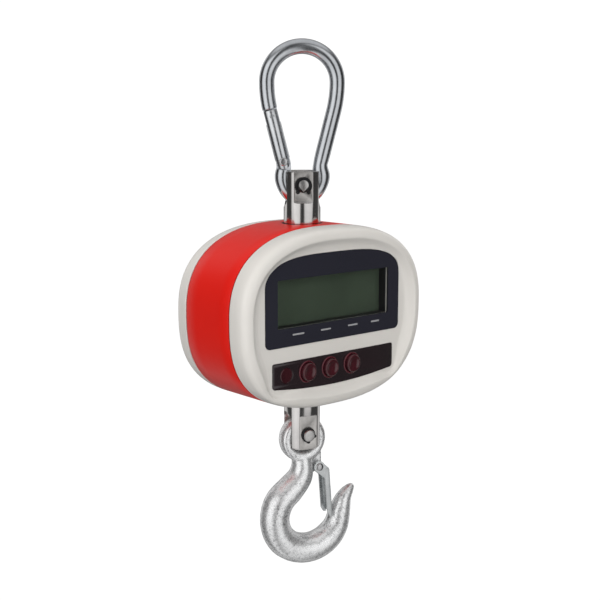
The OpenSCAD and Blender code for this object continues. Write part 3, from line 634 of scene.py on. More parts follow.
def make_gate():
    prof = [(0, -5.2), (WR, -5.2), (WR, GATE_LEN - 0.5), (WR - 0.18, GATE_LEN - 0.12), (WR - 0.5, GATE_LEN), (0, GATE_LEN)]
    g = lathe("gate", prof, ID, 72)
    keep = join([box_obj("k", (-7, -7, 0), (7, 7, GATE_LEN + 1))], "k")
    rnd = cyl_y("r", 0, 0, 4.9, -7, 7)
    cut(keep, rnd, op="UNION")
    cut(g, keep, op="INTERSECT")
    cut(g, cyl_y("c", 0, 0, 5.3, -2.4, 2.4), box_obj("c", (-7, -2.4, -7), (7, 2.4, 0)), box_obj("c", (-7, -2.3, 26.6), (7, 2.3, GATE_LEN + 2)))
    cut(g, lathe("c", [(0, 4), (2.6, 4), (2.6, 22), (0, 22)], ID, 40))
    merge(g)
    bevel(g, 0.25, 2, 38)
    g.data.transform(Matrix.Scale(1 / MM, 4))
    g.data.transform(GATE)
    g.data.transform(Matrix.Scale(MM, 4))
    return finish(g, "gate_bar", "gate", ["gate"], M["gate"], 36)


def dome_rivet(name, half, r_shank, r_head, h_head, xf, body, node, mat):
    """rivet along local Y with a domed head at each end and a small setting mark"""
    prof = []
    for i in range(9):
        a = math.pi / 2 * i / 8
        prof.append((r_head * math.sin(a), -(half + h_head * math.cos(a))))
    prof = [(0, -(half + h_head * 0.86)), (r_head * 0.22, -(half + h_head * 0.90))] + prof[3:]
    prof += [(r_head, -half), (r_shank, -half), (r_shank, half), (r_head, half)]
    for i in range(8, 2, -1):
        a = math.pi / 2 * i / 8
        prof.append((r_head * math.sin(a), half + h_head * math.cos(a)))
    prof += [(r_head * 0.22, half + h_head * 0.90), (0, half + h_head * 0.86)]
    o = lathe(name, prof, xf @ R(90, "X"), 56)
    return finish(o, name, body, [node], mat, 40)


# ------------------------------------------------------------------ clevises
def make_clevis(name, body, xf, flat_u, floor_u, pin_u, shoulder_u, end_u):
    c = lathe("c", [(0, 0), (BR - 1.2, 0), (BR - 0.35, 0.28), (BR - 0.06, 0.75), (BR, 1.3), (BR, shoulder_u - 0.4), (BR - 0.4, shoulder_u), (7, shoulder_u),
                    (7, end_u - 1.2), (5.8, end_u), (0, end_u)], ID, 128)
    cutters = []
    for s in (-1, 1):
        cutters.append(box_obj("x", (-20, min(s * 10.9, s * 20), -1), (20, max(s * 10.9, s * 20), flat_u - 1.2)))
        k = lathe("x", [(0, -20), (1.2, -20), (1.2, 20), (0, 20)], T(0, s * 12.1, flat_u - 1.2) @ R(90, "Y"), 48)
        cutters.append(k)
    cutters.append(box_obj("x", (-20, -6.5, -1), (20, 6.5, floor_u - 6.5)))
    cutters.append(lathe("x", [(0, -20), (6.5, -20), (6.5, 20), (0, 20)], T(0, 0, floor_u - 6.5) @ R(90, "Y"), 72))
    cutters.append(cyl_y("x", 0, pin_u, PR + 0.05, -20, 20, ID, 56))
    cutters.append(cyl_y("x", 0, end_u - 5, 1.6, -20, 20, ID, 24))
    cut(c, *cutters)
    merge(c)
    bevel(c, 0.22, 2, 30)
    me = c.data
    # milled faces are duller than the turned ones
    idx = []
    for p in me.polygons:
        y = abs(p.center.y) / MM
        z = p.center.z / MM
        flat = abs(p.normal.y) > 0.97 and (abs(y - 10.9) < 0.05 or abs(y - 6.5) < 0.05)
        top = z < 0.01 and abs(p.normal.z) > 0.97
        idx.append(1 if flat or top else 0)
    me.transform(Matrix.Scale(1 / MM, 4))
    me.transform(xf)
    me.transform(Matrix.Scale(MM, 4))
    o = finish(c, name, body, [name.replace("_bar", "")], [M["nickel"], M["milled"]], 34)
    o.data.polygons.foreach_set("material_index", idx)
    return o


def make_pin_highlight():
    """painted highlight: a bright teardrop of pin metal on the dark-painted end of the upper pin, slightly proud"""
    parts = []
    for s in (-1, 1):
        tear = [(3.35 * math.cos(math.radians(t)), 0.7 + 3.35 * math.sin(math.radians(t))) for t in range(-22, 203, 9)] + [(-0.25, -4.0)]
        tear = rounded(tear, [0] * (len(tear) - 1) + [0.5], 4)
        o = prism_y("tear", tear, s * 13.3, s * 13.6, UP @ T(0, 0, Z_UP))
        bevel(o, 0.1, 2, 50)
        parts.append(o)
    finish(join(parts, "tear"), "upper_pin_painted_highlight", "upper_clevis", [], M["pin"], 40)


def make_pin(name, z, xf, body, node):
    prof = [(0, -13.5), (0.5, -13.5), (PR - 0.75, -13.6), (PR - 0.3, -13.45), (PR, -13), (PR, -12.15), (3.6, -12.15), (3.6, -10.95), (PR, -10.95),
            (PR, 10.95), (3.6, 10.95), (3.6, 12.15), (PR, 12.15), (PR, 13), (PR - 0.3, 13.45), (PR - 0.75, 13.6), (0.5, 13.5), (0, 13.5)]
    o = lathe(name, prof, xf @ T(0, 0, z) @ R(90, "X"), 72)
    o = finish(o, name, body, [node], [M["pin"], M["black_ox"]] if node == "upper_pin" else M["pin"], 38)
    # painted shade: the ends of the upper pin take the dark oxide colour, standing for the shade in a hole round the
    # pin end
    if node == "upper_pin":
        c = xf @ Vector((0, 0, z))
        ax = (xf.to_3x3() @ Vector((0, 1, 0))).normalized()
        o.data.polygons.foreach_set("material_index", [1 if abs((p.center / MM - c).dot(ax)) > 12.2 else 0 for p in o.data.polygons])
    return o


def make_circlips(name, z, xf, body, node, a0, w, w2):
    """pair of external retaining rings: open ring, thicker opposite the gap, with two eyed lugs"""
    parts = []
    for y in (-11.55, 11.55):
        n = 80
        ri = 3.68
        rings = []
        for i in range(n + 1):
            a = a0 + 296 * i / n
            mid = a0 + 148
            k = math.cos(math.radians((a - mid) / 148 * 90))
            ro = ri + w2 + (w - w2) * max(k, 0) ** 0.7
            ca, sa = math.cos(math.radians(a)), math.sin(math.radians(a))
            e = 0.14
            sec = [(ri, -0.5 + e), (ri + e, -0.5), (ro - e, -0.5), (ro, -0.5 + e), (ro, 0.5 - e), (ro - e, 0.5), (ri + e, 0.5), (ri, 0.5 - e)]
            rings.append([(r * ca, y + h, r * sa) for r, h in sec])
        parts.append(sweep("ring", rings, (True, True), xf @ T(0, 0, z)))
        for b in (8, 288):
            a = math.radians(a0 + b)
            cx, cz = (ri + w2 - 0.1) * math.cos(a), (ri + w2 - 0.1) * math.sin(a)
            c = [(cx + 1.25 * math.cos(t), cz + 1.25 * math.sin(t)) for t in (2 * math.pi * i / 28 for i in range(28))]
            h = [(cx + 0.12 * math.cos(a) + 0.48 * math.cos(t), cz + 0.12 * math.sin(a) + 0.48 * math.sin(t)) for t in (-2 * math.pi * i / 16 for i in range(16))]
            parts.append(prism_y("lug", c, y - 0.49, y + 0.49, xf @ T(0, 0, z), [h]))
    return finish(join(parts, name), name, body, [node], M["black_ox"], 40)


# ------------------------------------------------------------------ housing
def se_pt(t, a, bt, bb):
    c, s = math.cos(t), math.sin(t)
    n = EXP_T if s >= 0 else EXP_B
    b = bt if s >= 0 else bb
    return (a * math.copysign(abs(c) ** (2 / n), c), ZC + b * math.copysign(abs(s) ** (2 / n), s))


def even_outline(a, bt, bb, n):
    """outline points spaced evenly along the curve, starting at the right"""
    m = 4000
    pts = [se_pt(2 * math.pi * i / m, a, bt, bb) for i in range(m)]
    acc = [0.0]
    for i in range(m):
        p, q = pts[i], pts[(i + 1) % m]
        acc.append(acc[-1] + math.hypot(q[0] - p[0], q[1] - p[1]))
    out, j = [], 0
    for i in range(n):
        w = acc[-1] * i / n
        while acc[j + 1] < w:
            j += 1
        t = (w - acc[j]) / (acc[j + 1] - acc[j])
        p, q = pts[j], pts[(j + 1) % m]
        out.append((p[0] + (q[0] - p[0]) * t, p[1] + (q[1] - p[1]) * t))
    return out


NB = 288


def outline(d, n=None):
    return even_outline(BODY_A - d, BODY_T - d, BODY_B - d, n or NB)


def crom(pts, step=6):
    out = []
    n = len(pts)
    for i in range(n - 1):
        a, b, c, d = pts[max(i - 1, 0)], pts[i], pts[i + 1], pts[min(i + 2, n - 1)]
        for j in range(step):
            t = j / step
            out.append(tuple(0.5 * (2 * q + (r - p) * t + (2 * p - 5 * q + 4 * r - s) * t * t + (3 * q - p - 3 * r + s) * t**3) for p, q, r, s in zip(a, b, c, d)))
    out.append(pts[-1])
    return out


def stack_obj(name, rings):
    """closed solid through housing outlines, list of (y, inset)"""
    rr = [[(x, y, z) for x, z in outline(d)] for y, d in rings]
    return sweep(name, rr, (True, True))


def even_params(n):
    """curve parameters that are evenly spaced along the full outline"""
    m = 6000
    pts = [se_pt(2 * math.pi * i / m, BODY_A, BODY_T, BODY_B) for i in range(m)]
    acc = [0.0]
    for i in range(m):
        a, b = pts[i], pts[(i + 1) % m]
        acc.append(acc[-1] + math.hypot(b[0] - a[0], b[1] - a[1]))
    out, j = [], 0
    for i in range(n):
        w = acc[-1] * i / n
        while acc[j + 1] < w:
            j += 1
        out.append(2 * math.pi * (j + (w - acc[j]) / (acc[j + 1] - acc[j])) / m)
    return out


def rim_obj(name, rings, n):
    """front rim: narrower and lower near the two bottom corners, beside the key strip"""
    rr = []
    ts = even_params(n)
    for y, d in rings:
        ring = []
        for t in ts:
            x, z = se_pt(t, BODY_A, BODY_T, BODY_B)
            g = math.exp(-((math.degrees(math.atan2(ZC - z, abs(x))) - 42) / 10) ** 2)
            e = d * (1 - 0.62 * g)
            x, z = se_pt(t, BODY_A - e, BODY_T - e, BODY_B - e)
            ring.append((x, -FACE_Y + (y + FACE_Y) * (1 - 0.55 * g) if y < -FACE_Y else y, z))
        rr.append(ring)
    return sweep(name, rr, (True, True))


def lens_outline(g, n=72):
    pts = []
    for i in range(n + 1):
        t = math.pi * i / n
        c, s = math.cos(t), math.sin(t)
        pts.append(((61.1 + g) * math.copysign(abs(c) ** 0.62, c), -152.4 + (21.4 + g) * max(s, 0) ** 0.74))
    for i in range(9):
        t = math.radians(180 + 90 * i / 8)
        pts.append((-61.1 - g + 4 + 4 * math.cos(t), -186.6 - g + 4 * math.sin(t)))
    for i in range(9):
        t = math.radians(270 + 90 * i / 8)
        pts.append((61.1 + g - 4 + 4 * math.cos(t), -186.6 - g + 4 * math.sin(t)))
    return pts


def key_outline(g):
    base = [(55.3 + g, -200.9 + g), (-55.3 - g, -200.9 + g), (-55.3 - g, -218.0 - g)]
    arch = [(x, -221.7 - g + 3.3 * (abs(x) / 50.4) ** 2) for x in [-50.4 + 100.8 * i / 40 for i in range(41)]]
    p = base + arch + [(55.3 + g, -218.0 - g)]
    r = [1.5, 1.5, 3.6] + [0] * len(arch) + [3.6]
    return rounded(p, r, 6)


SCR = ((54, -138), (-54, -138), (54, -212), (-54, -212))


def rrect(x0, z0, x1, z1, r, seg=5):
    return rounded([(x1, z1), (x0, z1), (x0, z0), (x1, z0)], r, seg)


def make_front():
    rings = [(-23.8, 0.45), (-23.86, 0.22), (-24.05, 0.06), (-24.4, 0.0)]
    rings += crom([(-25.0, 0.0), (-30, 0.25), (-34, 1.0), (-36.4, 2.3), (-37.7, 4.0), (-38.3, 5.9), (-38.52, 7.2)], 5)
    rings += [(-38.55, 7.65), (-38.5, 8.05), (-38.36, 8.4), (-38.12, 8.7)]
    rings += crom([(-37.7, 9.15), (-36.4, 10.5), (-35.2, 12.1), (-34.4, 13.9), (-FACE_Y, 15.6)], 5)
    o = rim_obj("front", rings, NB)
    cut(o, stack_obj("cav", [(-23.0, WALL), (-31.5, WALL + 1.6)]))
    cut(o, prism_y("x", lens_outline(0.18), -FACE_Y - 1, -32.7), prism_y("x", key_outline(0.18), -FACE_Y - 1, -32.7))
    cut(o, box_obj("x", (-LCD_A - 0.2, -40, LCD_Z0 - 0.2), (LCD_A + 0.2, -20, LCD_Z1 + 0.2)))
    for x in KEYS:
        cut(o, cyl_y("x", x, KEY_Z, 6.4, -40, -20))
    cut(o, cyl_y("x", -43.6, KEY_Z, 4.2, -40, -20))
    merge(o)
    bevel(o, 0.14, 2, 55)
    return finish(o, "front_shell", "housing", ["front_cover"], M["white"], 36)


def make_rear():
    rings = [(23.8, 0.45), (23.86, 0.22), (24.05, 0.06), (24.4, 0.0)]
    rings += crom([(25.0, 0.0), (30, 0.3), (34, 1.3), (36.4, 3.0), (37.6, 5.2), (BACK_Y, 8)], 6)
    o = stack_obj("rear", rings)
    cut(o, stack_obj("cav", [(23.0, WALL), (BACK_Y - 3, WALL + 4)]))
    cut(o, prism_y("x", rrect(-57, -190.5, 57, -153.5, 1.2), BACK_Y - 2.4, BACK_Y + 1))
    cut(o, box_obj("x", (-54.3, 30, -188.3), (54.3, BACK_Y + 1, -155.7)))
    for x, z in SCR:
        cut(o, cyl_y("x", x, z, 2.3, 20, BACK_Y + 1, ID, 40))
        # boss round the screw
        cut(o, cyl_y("x", x, z, 5.4, 24.2, BACK_Y - 2.9, ID, 40), op="UNION")
        cut(o, cyl_y("x", x, z, 3.9, BACK_Y - 4, BACK_Y + 1, ID, 48))
        cut(o, cyl_y("x", x, z, 2.3, 20, BACK_Y + 1, ID, 40))
    cut(o, lathe("x", [(0, -9), (5.4, -9), (5.4, 9), (0, 9)], T(0, BACK_Y + 4, -153) @ R(90, "Y"), 64))
    merge(o)
    bevel(o, 0.2, 2, 50)
    return finish(o, "rear_shell", "housing", ["rear_cover"], M["white"], 36)


def make_band():
    rr = []
    for y, d in ((-23.0, 3.0), (-23.0, 0.35), (-22.93, 0.12), (-22.7, 0.0), (-12, 0), (0, 0), (12, 0), (22.7, 0.0), (22.93, 0.12), (23.0, 0.35), (23.0, 3.0)):
        rr.append([(x, y, z) for x, z in outline(d)])
    o = sweep("band", rr, closed=True)
    cut(o, lathe("x", [(0, 0), (14.25, 0), (14.25, 90), (0, 90)], T(0, 0, ZC), 96), lathe("x", [(0, 0), (14.25, 0), (14.25, 90), (0, 90)], T(0, 0, ZC - 90), 96))
    merge(o)
    bevel(o, 0.25, 2, 60)
    return finish(o, "red_band", "housing", ["middle_band"], M["red"], 36)


def make_lens():
    win = rrect(-LCD_A, LCD_Z0, LCD_A, LCD_Z1, 1.0)
    o = prism_y("lens", lens_outline(0), -34.3, -32.8, ID, [list(reversed(win))])
    bevel(o, 0.22, 3, 50)
    finish(o, "lens_border", "housing", ["lens_panel"], M["lens"], 40)
    p = prism_y("pane", rrect(-LCD_A + 0.02, LCD_Z0 + 0.02, LCD_A - 0.02, LCD_Z1 - 0.02, 1.0), -34.26, -33.7)
    finish(p, "lens_window", "housing", [], M["pane"], 40)
    # plain printed dashes under the display, standing for the small captions
    parts = []
    for x0, x1 in ((-38, -28), (-13, -4), (12, 21), (34, 42)):
        parts.append(prism_y("m", rrect(x0, -183.6, x1, -182.5, 0.4, 3), -34.335, -34.25))
    finish(join(parts, "m"), "caption_dashes", "housing", [], M["mark"], 40)


def make_display():
    fr = prism_y("fr", rrect(-53.5, -181.4, 53.5, -143.0, 1.0), -31.4, -21.1)
    cut(fr, box_obj("x", (-LCD_A, -40, LCD_Z0), (LCD_A, -15, LCD_Z1)), box_obj("x", (-52.1, -25, -180.1), (52.1, -15, -144.5)))
    merge(fr)
    bevel(fr, 0.2, 1, 50)
    finish(fr, "display_bezel", "housing", ["lcd_frame"], M["frame_bk"], 36)
    g = prism_y("lcd", rrect(-52, -180, 52, -144.6, 0.4, 2), -24.95, -22.2)
    bevel(g, 0.15, 1, 50)
    finish(g, "display_cell", "housing", ["lcd_glass"], M["lcd"], 36)


def circle(x, z, r, n=48, rev=False):
    s = -1 if rev else 1
    return [(x + r * math.cos(s * 2 * math.pi * i / n), z + r * math.sin(s * 2 * math.pi * i / n)) for i in range(n)]


def make_keypad():
    holes = [circle(x, KEY_Z, 6.4, 56, True) for x in KEYS] + [circle(-43.6, KEY_Z, 5.4, 48, True)]
    o = prism_y("kp", key_outline(0), -34.3, -32.8, ID, holes)
    bevel(o, 0.2, 2, 50)
    finish(o, "key_strip", "housing", ["keypad_panel"], M["key"], 40)
    # low collars round the caps
    for x in KEYS:
        prof = [(6.45, 34.25), (6.45, 34.62), (6.6, 34.78), (6.95, 34.82), (7.3, 34.72), (7.5, 34.5), (7.55, 34.28)]
        c = lathe("collar", prof, T(x, 0, KEY_Z) @ R(90, "X"), 72)
        finish(c, "key_collar_%d" % KEYS.index(x), "housing", [], M["maroon"], 50)
    w = lathe("st", [(0, 34.33), (4.4, 34.35), (4.75, 34.33), (4.9, 34.22), (5.0, 34.33), (5.2, 34.3), (5.3, 34.1), (5.3, 32.85), (4.0, 32.85), (4.0, 30.5), (0, 30.5)],
              T(-43.6, 0, KEY_Z) @ R(90, "X"), 72)
    finish(w, "status_lens", "housing", ["status_window"], M["status"], 40)
    for nm, x in zip(("button_left", "button_middle", "button_right"), KEYS):
        prof = [(0, 27.7), (2, 27.7), (2, 30.3), (7.3, 30.3), (7.3, 31.35), (6.1, 31.35), (6.1, 36.35), (6.02, 36.75), (5.8, 37.08), (5.45, 37.3), (5.0, 37.4), (4.55, 37.36),
                (4.1, 37.2), (3.4, 36.95), (2.5, 36.75), (1.5, 36.65), (0.7, 36.61), (0, 36.6)]
        c = lathe(nm, prof, T(x, 0, KEY_Z) @ R(90, "X"), 80)
        finish(c, "cap_" + nm.split("_")[1], nm, [nm], M["cap"], 42)


def make_gaskets():
    for nm, y in (("front_gasket", -23.8), ("rear_gasket", 23.0)):
        o = prism_y(nm, outline(0.7), y + 0.005, y + 0.795, ID, [list(reversed(outline(WALL - 0.2)))])
        finish(o, nm + "_ring", "housing", [nm], M["rubber"], 30)


def make_door():
    o = prism_y("door", rrect(-56.6, -190.1, 56.6, -153.9, 0.9), BACK_Y - 2.25, BACK_Y)
    cut(o, lathe("x", [(0, -9), (5.4, -9), (5.4, 9), (0, 9)], T(0, BACK_Y + 4, -153) @ R(90, "Y"), 64))
    for i in range(6):
        z = -166 - 2.4 * i
        cut(o, prism_y("x", rrect(-15, z, 15, z + 1, 0.45, 4), BACK_Y - 0.5, BACK_Y + 1))
    merge(o)
    bevel(o, 0.22, 2, 40)
    parts = [o]
    for x in (-26, 26):
        parts.append(prism_y("rib", rrect(x - 1, -186, x + 1, -158, 0.4, 3), BACK_Y - 3.3, BACK_Y - 2.2))
    finish(join(parts, "d"), "battery_lid", "battery_door", ["battery_door"], M["door"], 36)


def make_cover_screws():
    parts = []
    for x, z in SCR:
        s = lathe("s", [(0, -36.9 + 0.0), (1.9, -36.9), (3.2, -36.85), (3.55, -36.5), (3.6, -36.0), (3.6, -34.1), (2, -34.1), (2, 29.6), (1.4, 30.2), (0, 30.2)], T(x, 0, z) @ R(90, "X"), 48)
        for a in (0, 90):
            cut(s, box_obj("x", (-2.0, -0.45, -38), (2.0, 0.45, -35.6), T(x, 0, z) @ R(90, "X") @ R(a, "Z")))
        merge(s)
        bevel(s, 0.12, 1, 40)
        parts.append(s)
    finish(join(parts, "cs"), "cover_screw_set", "housing", ["cover_screws"], M["dark_steel"], 36)


# ------------------------------------------------------------------ hook
EYE_Z = Z_LP - (9 - PR) + 0.03
LX, LZ, LATCH_A, LATCH_LEN = 11.1, -289.7, 4.4, 38.6
HK = [(0, -279.6, 5.6), (0, -284, 7.3), (0.2, -290, 8.0), (-2.2, -297.6, 9.2), (-9.6, -305.6, 10.1), (-17.6, -313.4, 10.5),
      (-21.4, -325, 10.6), (-18.6, -338, 10.7), (-9.6, -347.6, 10.7), (4, -351.3, 10.7), (17, -347.8, 10.3), (26.4, -338.6, 9.3),
      (30.2, -326.6, 7.9), (33.2, -317.6, 5.9), (37.6, -311.6, 3.9), (40.2, -309.2, 2.3)]


def make_hook():
    path = crom(HK, 8)
    x, z, r = path[-1]
    px, pz, _ = path[-2]
    ln = math.hypot(x - px, z - pz)
    ux, uz = (x - px) / ln, (z - pz) / ln
    for k in (0.3, 0.6, 0.85, 0.97):
        path.append((x + ux * r * k * 0.55, z + uz * r * k * 0.55, r * math.sqrt(max(1 - k * k, 0.02))))
    bar = sweep("bar", plane_rings(path, 48))
    n, m = 96, 28
    rings = []
    for i in range(n):
        a = 2 * math.pi * i / n
        ring = []
        for j in range(m):
            t = 2 * math.pi * j / m
            c, s = math.cos(t), math.sin(t)
            rr = 13 + 4 * math.copysign(abs(c) ** 0.75, c)
            yy = 6 * math.copysign(abs(s) ** 0.75, s)
            ring.append((rr * math.cos(a), yy, EYE_Z + rr * math.sin(a)))
        rings.append(ring)
    eye = sweep("eye", rings, closed=True)
    ear = prism_y("ear", circle(LX, LZ, 3.9, 40), -1.9, 1.9)
    web = prism_y("web", [(0, -297), (8.2, -294.6), (11.1, -293.6), (14.9, -289.7), (14.7, -287.5), (14.6, -274.3), (9.5, -276), (0, -282)], -1.9, 1.9)
    o = join([bar, eye, ear, web], "hook")
    md = o.modifiers.new("r", "REMESH")
    md.mode = "VOXEL"
    md.voxel_size = 0.5 * MM
    baked(o)
    md = o.modifiers.new("s", "SMOOTH")
    md.factor = 0.5
    md.iterations = 24
    baked(o)
    # forging: slight swelling and pitting so that the bar isn't a perfect tube
    me = o.data
    me.calc_loop_triangles()
    nrm = [v.normal.copy() for v in me.vertices]
    for v, nn in zip(me.vertices, nrm):
        p = v.co / MM
        d = 0.16 * noise.noise(p * 0.09) + 0.07 * noise.noise(p * 0.35 + Vector((7, 3, 1)))
        # flash line of the forging dies along the outside
        if abs(p.y) < 0.9 and p.z < -283 and abs(nn.y) < 0.35:
            d += 0.10 * (1 - abs(p.y) / 0.9)
        v.co = v.co + nn * d * MM
    me.update()
    me.transform(Matrix.Scale(1 / MM, 4))
    me.transform(LO)
    me.transform(Matrix.Scale(MM, 4))
    return finish(o, "hook_forging", "hook", ["hook"], M["hook"], 60)


LATCH = LO @ T(LX, 0, LZ) @ R(-LATCH_A, "Y")


def make_latch():
    arc = [(4.1 * math.cos(math.radians(t)), 4.1 * math.sin(math.radians(t))) for t in range(22, 232, 7)]
    side = [(7.5, -LATCH_LEN), (7.5, -3.2), (6.8, -1.6)] + arc + [(3.9, -9.6), (3.9, -35), (5.6, -LATCH_LEN)]
    rad = [0.3, 1.4, 1.2] + [0] * len(arc) + [2.2, 0.8, 0.5]
    pts = rounded(side, rad, 4)
    o = prism_y("f", pts, 4.9, 6.2)
    web = prism_y("w", [(6.2, -36), (7.5, -36), (7.5, -3.4), (6.2, -3.4)], -6.1, 6.1)
    cut(o, prism_y("f", pts, -6.2, -4.9), op="UNION")
    cut(o, web, op="UNION")
    cut(o, cyl_y("x", 0, 0, 2.05, -8, 8, ID, 40))
    merge(o)
    bevel(o, 0.38, 3, 40)
    o.data.transform(Matrix.Scale(1 / MM, 4))
    o.data.transform(LATCH)
    o.data.transform(Matrix.Scale(MM, 4))
    finish(o, "latch_sheet", "latch", ["latch"], M["latch"], 36)
    coils = []
    for s in (-1, 1):
        y0 = 2.4 if s > 0 else -4.6
        coils.append(helix("c", 2.6, 0.32, 2.2, 2.4, T(0, y0, 0) @ R(-90, "X"), 36, 10))
    sp = join(coils, "sp")
    sp.data.transform(Matrix.Scale(1 / MM, 4))
    sp.data.transform(LATCH)
    sp.data.transform(Matrix.Scale(MM, 4))
    finish(sp, "latch_coils", "hook", ["latch_spring"], M["spring"], 60)


# ------------------------------------------------------------------ build
make_bow()
make_gate()
dome_rivet("gate_rivet_head", 5.3, 2.0, 2.9, 0.78, GATE, "carabiner", "gate_rivet", M["rivet"])
make_clevis("upper_clevis_bar", "upper_clevis", UP @ T(0, 0, UP_END) @ R(180, "X"), 21.8, 25.6, 9.9, 43.2, 77.5)
make_clevis("lower_clevis_bar", "lower_clevis", LO @ T(0, 0, LO_END), 25.0, 26.6, 10.4, 44.2, 79.3)
make_pin("upper_cross_pin", Z_UP, UP, "upper_clevis", "upper_pin")
make_pin("lower_cross_pin", Z_LP, LO, "lower_clevis", "lower_pin")
make_pin_highlight()
make_circlips("upper_rings", Z_UP, UP, "upper_clevis", "upper_circlips", -60, 2.3, 2.0)
make_circlips("lower_rings", Z_LP, LO, "lower_clevis", "lower_circlips", -20, 1.7, 1.1)
make_front()
make_rear()
make_band()
make_gaskets()
make_lens()
make_display()
make_keypad()
make_door()
make_cover_screws()
make_hook()
make_latch()
dome_rivet("latch_rivet_head", 6.3, 2.0, 2.9, 1.2, LATCH, "hook", "latch_rivet", M["rivet"])

# materials for the CAD nodes that stay
KEEP = {
    "gate_pin": "rivet", "gate_plunger": "steel", "gate_spring": "spring", "upper_thrust_washer": "steel", "upper_nut": "nut", "upper_split_pin": "steel",
    "upper_bush": "bronze", "upper_seal": "rubber", "lcd_backlight": "light_white", "key_switches": "chip", "main_board": "board", "board_parts": "chip",
    "buzzer": "chip", "board_screws": "steel", "load_cell": "alu", "gauge_covers": "alu", "load_cell_brackets": "steel", "bracket_screws": "dark_steel",
    "battery_box": "tray", "battery_cells": "cell", "battery_contacts": "contact", "lower_thrust_washer": "steel", "lower_nut": "nut", "lower_split_pin": "steel",
    "lower_bush": "bronze", "lower_seal": "rubber",
}
for node, key in KEEP.items():
    o = bpy.data.objects[node]
    if not o.data.materials:
        o.data.materials.append(M[key])
    for s in o.material_slots:
        s.material = M[key]

# ------------------------------------------------------------------ stage
K = 0.70 * MM
th, pt = math.radians(41.0), math.radians(9.6)
r = Vector((math.cos(th), -math.sin(th), 0))
d = Vector((math.sin(th) * math.cos(pt), math.cos(th) * math.cos(pt), -math.sin(pt)))
u = r.cross(d)
cam_data = bpy.data.cameras.new("camera")
cam_data.lens = 67.5
cam_data.sensor_width = 36
cam_data.clip_start = 0.01
cam_data.clip_end = 20
cam = bpy.data.objects.new("camera", cam_data)
scene.collection.objects.link(cam)
cam.matrix_world = Matrix.Translation(Vector((0, 0, -0.1684)) + (-2.0 * r - 1125.0 * d) * K) @ Matrix((r, u, -d)).transposed().to_4x4()
scene.camera = cam

FLOOR_Z = -1.70


def make_stage():
    """pale floor that curves up into a pale wall on every side"""
    n = 96
    prof = [(0.0, 0.0), (1.2, 0.0), (2.2, 0.0)] + [(2.2 + 0.9 * math.sin(a), 0.9 * (1 - math.cos(a))) for a in (math.radians(9 * i) for i in range(1, 11))] + [(3.1, 1.9), (3.1, 4.4)]
    verts, faces, rows = [], [], []
    for rr, h in prof:
        if rr == 0:
            rows.append([0])
            verts.append((0, 0, FLOOR_Z))
        else:
            rows.append(list(range(len(verts), len(verts) + n)))
            verts += [(rr * math.cos(2 * math.pi * i / n), rr * math.sin(2 * math.pi * i / n), FLOOR_Z + h) for i in range(n)]
    for a, b in zip(rows[:-1], rows[1:]):
        for i in range(n):
            k = (i + 1) % n
            faces.append((a[0], b[i], b[k]) if len(a) == 1 else (a[i], b[i], b[k], a[k]))
    me = bpy.data.meshes.new("stage")
    me.from_pydata(verts, [], faces)
    me.polygons.foreach_set("use_smooth", [True] * len(me.polygons))
    o = bpy.data.objects.new("stage", me)
    scene.collection.objects.link(o)
    # the paper is lit apart from the object: it neither lights nor mirrors in it
    o.visible_diffuse = False
    o.visible_glossy = False
    m, nt, b = new_mat("stage_paper")
    b.inputs["Base Color"].default_value = (0.30, 0.30, 0.30, 1)
    b.inputs["Roughness"].default_value = 0.9
    b.inputs["Specular IOR Level"].default_value = 0.2
    b.inputs["Emission Color"].default_value = (1, 1, 1, 1)
    b.inputs["Emission Strength"].default_value = STAGE_GLOW
    me.materials.append(m)
    return o


STAGE_GLOW = 0.88
KEY = 4.0
WORLD = 0.95
make_stage()


def area(name, az, el, dist, w, h, power, target=(0, 0, -0.17), colour=(1, 1, 1)):
    """soft box; az is measured from the camera's side, positive to the camera's right"""
    a = math.radians(-41 + az)
    e = math.radians(el)
    p = Vector(target) + Vector((math.sin(a) * math.cos(e), -math.cos(a) * math.cos(e), math.sin(e))) * dist
    L = bpy.data.lights.new(name, "AREA")
    L.shape = "RECTANGLE"
    L.size = w
    L.size_y = h
    L.energy = power
    L.color = colour
    o = bpy.data.objects.new(name, L)
    scene.collection.objects.link(o)
    z = (p - Vector(target)).normalized()
    x = Vector((0, 0, 1)).cross(z).normalized()
    y = z.cross(x)
    o.matrix_world = Matrix.Translation(p) @ Matrix((x, y, z)).transposed().to_4x4()
    return o


for nm, az, el, dist, w, h, power in (("key_left", -38, 26, 1.1, 0.8, 1.0, KEY), ("key_right", 42, 22, 1.1, 0.8, 1.0, KEY * 0.92), ("top", 0, 84, 1.2, 1.0, 1.0, KEY * 0.42),
                                     ("front_fill", 4, 8, 1.2, 1.2, 1.2, KEY * 0.8),
                                     ("back_left", -140, 20, 1.2, 0.8, 1.0, KEY * 0.9), ("back_right", 140, 20, 1.2, 0.8, 1.0, KEY * 0.9)):
    lamp = area(nm, az, el, dist, w, h, power)
    lamp.visible_glossy = False

w = bpy.data.worlds.new("studio")
scene.world = w
w.use_nodes = True
wt = w.node_tree
bg = wt.nodes["Background"]
tc = wt.nodes.new("ShaderNodeTexCoord")
mp = wt.nodes.new("ShaderNodeMapping")
mp.vector_type = "POINT"
mp.inputs["Rotation"].default_value = (0, 0, math.radians(41))
wt.links.new(tc.outputs["Generated"], mp.inputs["Vector"])
sep = wt.nodes.new("ShaderNodeSeparateXYZ")
wt.links.new(mp.outputs["Vector"], sep.inputs[0])


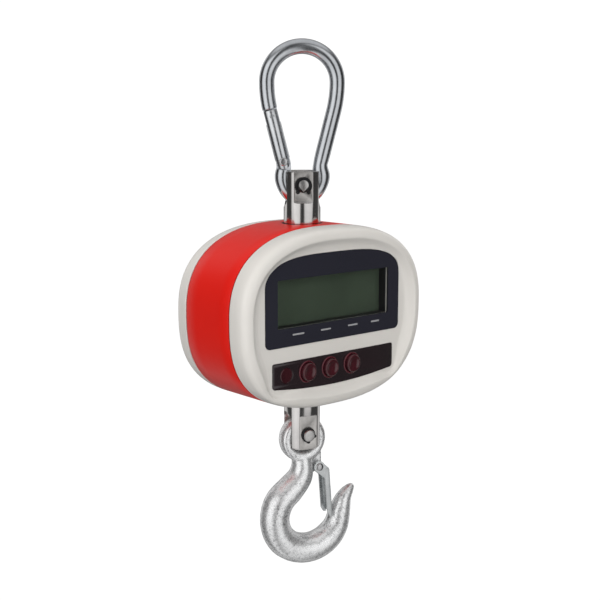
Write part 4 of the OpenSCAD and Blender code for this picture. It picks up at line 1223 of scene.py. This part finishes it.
def wmath(op, a, b=None):
    n = wt.nodes.new("ShaderNodeMath")
    n.operation = op
    for i, v in enumerate((a, b)):
        if v is None:
            continue
        if isinstance(v, (int, float)):
            n.inputs[i].default_value = v
        else:
            wt.links.new(v, n.inputs[i])
    return n.outputs[0]


def wramp(fac, stops):
    r_ = wt.nodes.new("ShaderNodeValToRGB")
    r_.color_ramp.interpolation = "EASE"
    els = r_.color_ramp.elements
    while len(els) < len(stops):
        els.new(0.5)
    for e, (p, v) in zip(els, stops):
        e.position = p
        e.color = (v, v, v, 1)
    wt.links.new(fac, r_.inputs["Fac"])
    return r_.outputs["Color"]


neg_y = wmath("MULTIPLY", sep.outputs["Y"], -1.0)
ang = wmath("ARCTAN2", sep.outputs["X"], neg_y)
turn = wmath("MULTIPLY_ADD", ang, 1 / (2 * math.pi))
turn.node.inputs[2].default_value = 0.5


def deg(a):
    return a / 360.0 + 0.5


bands = wramp(turn, [(deg(-180), 0.30), (deg(-150), 0.35), (deg(-142), 0.85), (deg(-126), 0.70), (deg(-116), 0.06), (deg(-73), 0.045), (deg(-64), 0.95), (deg(-40), 1.15), (deg(-17), 1.0),
                     (deg(-9), 0.10), (deg(1), 0.05), (deg(11), 0.10), (deg(19), 0.90), (deg(38), 0.98), (deg(59), 0.85), (deg(68), 0.045), (deg(116), 0.06), (deg(126), 0.70), (deg(142), 0.85),
                     (deg(150), 0.35), (deg(180), 0.30)])
high = wmath("MULTIPLY_ADD", sep.outputs["Z"], 0.5)
high.node.inputs[2].default_value = 0.5
level = wramp(high, [(0.0, 0.62), (0.18, 0.60), (0.34, 0.9), (0.5, 1.0), (0.70, 1.0), (0.84, 0.0), (1.0, 0.0)])
cap = wramp(high, [(0.0, 0.15), (0.3, 0.02), (0.62, 0.0), (0.80, 0.10), (0.90, 0.62), (1.0, 0.70)])
mul = wmath("MULTIPLY", bands, level)
tot = wmath("ADD", mul, cap)
wt.links.new(tot, bg.inputs["Color"])
bg.inputs["Strength"].default_value = WORLD

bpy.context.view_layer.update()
